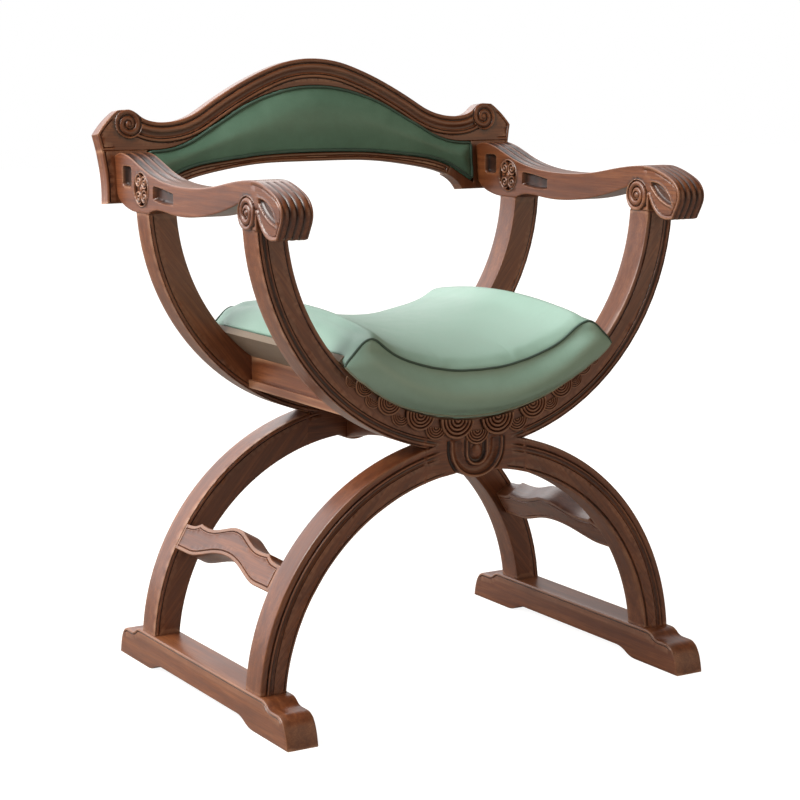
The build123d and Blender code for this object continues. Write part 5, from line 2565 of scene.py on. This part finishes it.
def eased(line: Array, rounds: int = 3) -> Array:
    """Smooth an open line, keeping its ends.

    Args:
        line: The line.
        rounds: How often it is smoothed.

    Returns:
        The smoothed line.
    """
    for _ in range(rounds):
        line = np.vstack([line[:1], (line[:-2] + 2 * line[1:-1] + line[2:]) / 4.0, line[-1:]])
    return line


@dataclass
class DishedSeat:
    """Bent board, swollen cushion and its welts.

    Attributes:
        plan: The chair's sizes.
        finishes: The materials.
        lip: How far the cushion's border stands in front of the frames.
        welt_radius: Radius of the welts.
        crown: Rise of the cushion's top between its front and rear edges, in its middle.
        end_crown: The same at its ends.
        rear_lift: How much higher its rear edge is in the middle.
        bulge: How far its borders swell.
        lean: How far their upper edges stand out.
        tuck: How far their feet draw in.
        foot_lift: How far their feet rise from the posts in the middle.
        hang: Distance from the middle where they lie on the posts, beyond which they hang over them.
        ridge: Distance of the ridges at its ends from the middle.
        ridge_radius: Radius of the ridges.
        ridge_lift: How much the ridges rise.
        rise: Distances from the foot between which the crown and the ridges rise.
        rim_slope: Slope of its top beside them, in degrees.
    """

    plan: ChairPlan
    finishes: Finishes
    lip: float = 12.0 * MM
    welt_radius: float = 1.7 * MM
    crown: float = 30.0 * MM
    end_crown: float = 18.0 * MM
    rear_lift: float = 16.0 * MM
    bulge: float = 14.0 * MM
    lean: float = 4.0 * MM
    tuck: float = 11.0 * MM
    foot_lift: float = 6.0 * MM
    hang: float = 130.0 * MM
    ridge: float = 168.7 * MM
    ridge_radius: float = 26.0 * MM
    ridge_lift: float = 6.0 * MM
    rise: Pair = (4.0 * MM, 46.0 * MM)
    rim_slope: float = 35.5

    def _depths(self) -> Pair:
        """Depths of the cushion's front and rear borders."""
        plan = self.plan
        return plan.front_face - self.lip, plan.rear_face + plan.frame_thickness + self.lip

    def _freedom(self, points: Array) -> Array:
        """Free above the wood, held where the cushion lies on the board and the posts."""
        radius = np.hypot(points[:, 0], points[:, 2] - self.plan.post_ring)
        return smooth_step(self.plan.post_inner - 12.0 * MM - radius, 0.0, 14.0 * MM)

    def _shaped(self, points: Array, border: Array, foot: Array) -> Array:
        """Crown the cushion, round its ridges, and swell and tuck its borders.

        Args:
            points: Its points.
            border: Outline of its borders in X and Z.
            foot: The part of it that lies on the posts.

        Returns:
            The points in their places.
        """
        front, rear = self._depths()
        middle, half = (front + rear) / 2.0, (rear - front) / 2.0
        side, flat, across = np.abs(points[:, 0]), points[:, [0, 2]], (points[:, 1] - middle) / half
        above = distance_to(flat, foot)
        risen = smooth_step(above, *self.rise)
        lifted = points.copy()
        near_ridge = 1.0 - smooth_step(np.abs(side - self.ridge), 0.0, 48.0 * MM)
        lifted[:, 2] += self.ridge_lift * near_ridge * risen
        shaped = self._rounded(lifted, border)
        share = np.minimum(side / self.ridge, 1.0)
        crown = (self.crown + (self.end_crown - self.crown) * share**2 * (2.0 - share**2)) * (1.0 - across**2)
        crown += self.rear_lift * (1.0 - share**4) ** 2 * (1.0 + across) / 2.0
        shaped[:, 2] += crown * risen
        past = np.abs(points[:, 1] - middle) - half
        lips = smooth_step(past, -8.0 * MM, 0.0)
        swell = self.bulge * np.sqrt(smooth_step(distance_to(flat, border), 0.0, 34.0 * MM)) + self.lean
        tuck = self.tuck * (1.0 - smooth_step(side, 120.0 * MM, 195.0 * MM))
        swell -= tuck * (1.0 - smooth_step(above, 0.0, 13.0 * MM))
        shaped[:, 1] += swell * np.sign(across) * lips
        inward = np.array([0.0, self.plan.post_ring]) - flat
        inward /= np.linalg.norm(inward, axis=1, keepdims=True)
        lift = self.foot_lift * (1.0 - (points[:, 0] / self.hang) ** 2)
        held = np.where(lift > 0.0, lips, smooth_step(past, -3.0 * MM, 0.0))
        lift *= (1.0 - smooth_step(above, 0.0, 30.0 * MM)) * held
        shaped[:, [0, 2]] += inward * lift[:, None]
        return shaped

    def _rounded(self, points: Array, border: Array) -> Array:
        """Round the two ridges where the top meets the ends.

        Args:
            points: The cushion's points.
            border: Outline of its borders in X and Z.

        Returns:
            The points, drawn in where they lay outside the rounds.
        """
        ridge = border[np.argmax(border[:, 1] + 0.2 * np.abs(border[:, 0]))]
        ridge = np.array([abs(ridge[0]), ridge[1] + self.ridge_lift])
        low = border[np.argmax(border[:, 0])]
        end = (low - ridge) / np.linalg.norm(low - ridge)
        slope = math.radians(self.rim_slope)
        top = np.array([-math.cos(slope), -math.sin(slope)])
        normals = np.array([[-top[1], top[0]], [end[1], -end[0]]])
        normals *= np.sign(normals @ np.array([0.3, 1.0]))[:, None]
        centre = ridge + np.linalg.solve(normals, np.full(2, -self.ridge_radius))
        side = np.column_stack([np.abs(points[:, 0]), points[:, 2]]) - centre
        shares = side @ np.linalg.inv(normals)
        length = np.linalg.norm(side, axis=1)
        reach = self.ridge_radius * length / np.maximum((side @ normals.T).max(axis=1), 1e-6)
        share = 1.0 - (reach - self.ridge_radius) / np.maximum(length, reach)
        share = np.where((shares > 0.0).all(axis=1), share, 1.0)
        rounded = points.copy()
        rounded[:, 0] = np.sign(points[:, 0]) * (centre[0] + side[:, 0] * share)
        rounded[:, 2] = centre[1] + side[:, 1] * share
        return rounded

    def build(self) -> None:
        """Make the cushion and its welts, and line the board."""
        depths = self._depths()
        border = face_outline("seat_cushion", FRONT, UPRIGHT)
        reach, low_end = border[np.argmax(border[:, 0])]
        top = stretch_of(border, (reach, low_end), (-reach, low_end))
        foot = stretch_of(border, (-reach, low_end), (reach, low_end))

        def shaped(points: Array) -> Array:
            """Places of the cushion after its shaping."""
            return self._shaped(points, border, foot)

        cushion = Puffed("seat_cushion", self.finishes.seat_leather, cap=5.0 * MM, fill=0.8).build(
            "seat_cushion", "seat_leather", self._freedom, shaped)
        tops = self._welts(cushion, resample(top, 4.0 * MM, 30.0, closed=False), depths, 0.4 * MM, shaped)
        feet = self._welts(cushion, resample(foot, 4.0 * MM, closed=False), depths, 0.2 * MM, shaped)
        dark = Piping("cushion_top_welts", self.welt_radius, self.finishes.welt).along(tops)
        pale = Piping("cushion_foot_welts", self.welt_radius * 0.8, self.finishes.pale_welt).along(feet)
        settle(dark, "seat_leather")
        settle(pale, "seat_leather")
        dress("seat_panel", self.finishes.lining)

    @staticmethod
    def _welts(cushion: Piece, line: Array, depths: Sequence[float], lift: float,
               shaped: Callable[[Array], Array]) -> list[Array]:
        """Lay a line in X and Z on the cushion at both depths, after its change of shape."""
        laid = [np.column_stack([line[:, 0], np.full(len(line), depth), line[:, 1]]) for depth in depths]
        return [eased(on_surface(cushion, shaped(row), lift)) for row in laid]


def dress(node: str, material: Material) -> None:
    """Give a CAD node that stays its finish.

    Args:
        node: Name of the node.
        material: Its finish.
    """
    solid = bpy.data.objects[node]
    solid.data.materials.clear()
    solid.data.materials.append(material)
    for place in solid.material_slots:
        place.material = material


def main() -> None:
    """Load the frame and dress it."""
    logging.basicConfig(level=logging.INFO, format="%(name)s %(message)s")
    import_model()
    plan, finishes = ChairPlan(), Finishes.build()
    Studio().build()
    ArcFrame(plan, finishes, "front", plan.front_face, True).build()
    ArcFrame(plan, finishes, "rear", plan.rear_face, False).build()
    Underframe(plan, finishes).build()
    ScrollArm(finishes).build()
    RakedBack(finishes).build()
    ScallopBand(plan, finishes.walnut).build()
    DishedSeat(plan, finishes).build()
    for node in ("front_hub_tenons", "rear_hub_tenons", "back_rail_dowels"):
        dress(node, finishes.along_x)


if __name__ == "__main__":
    main()
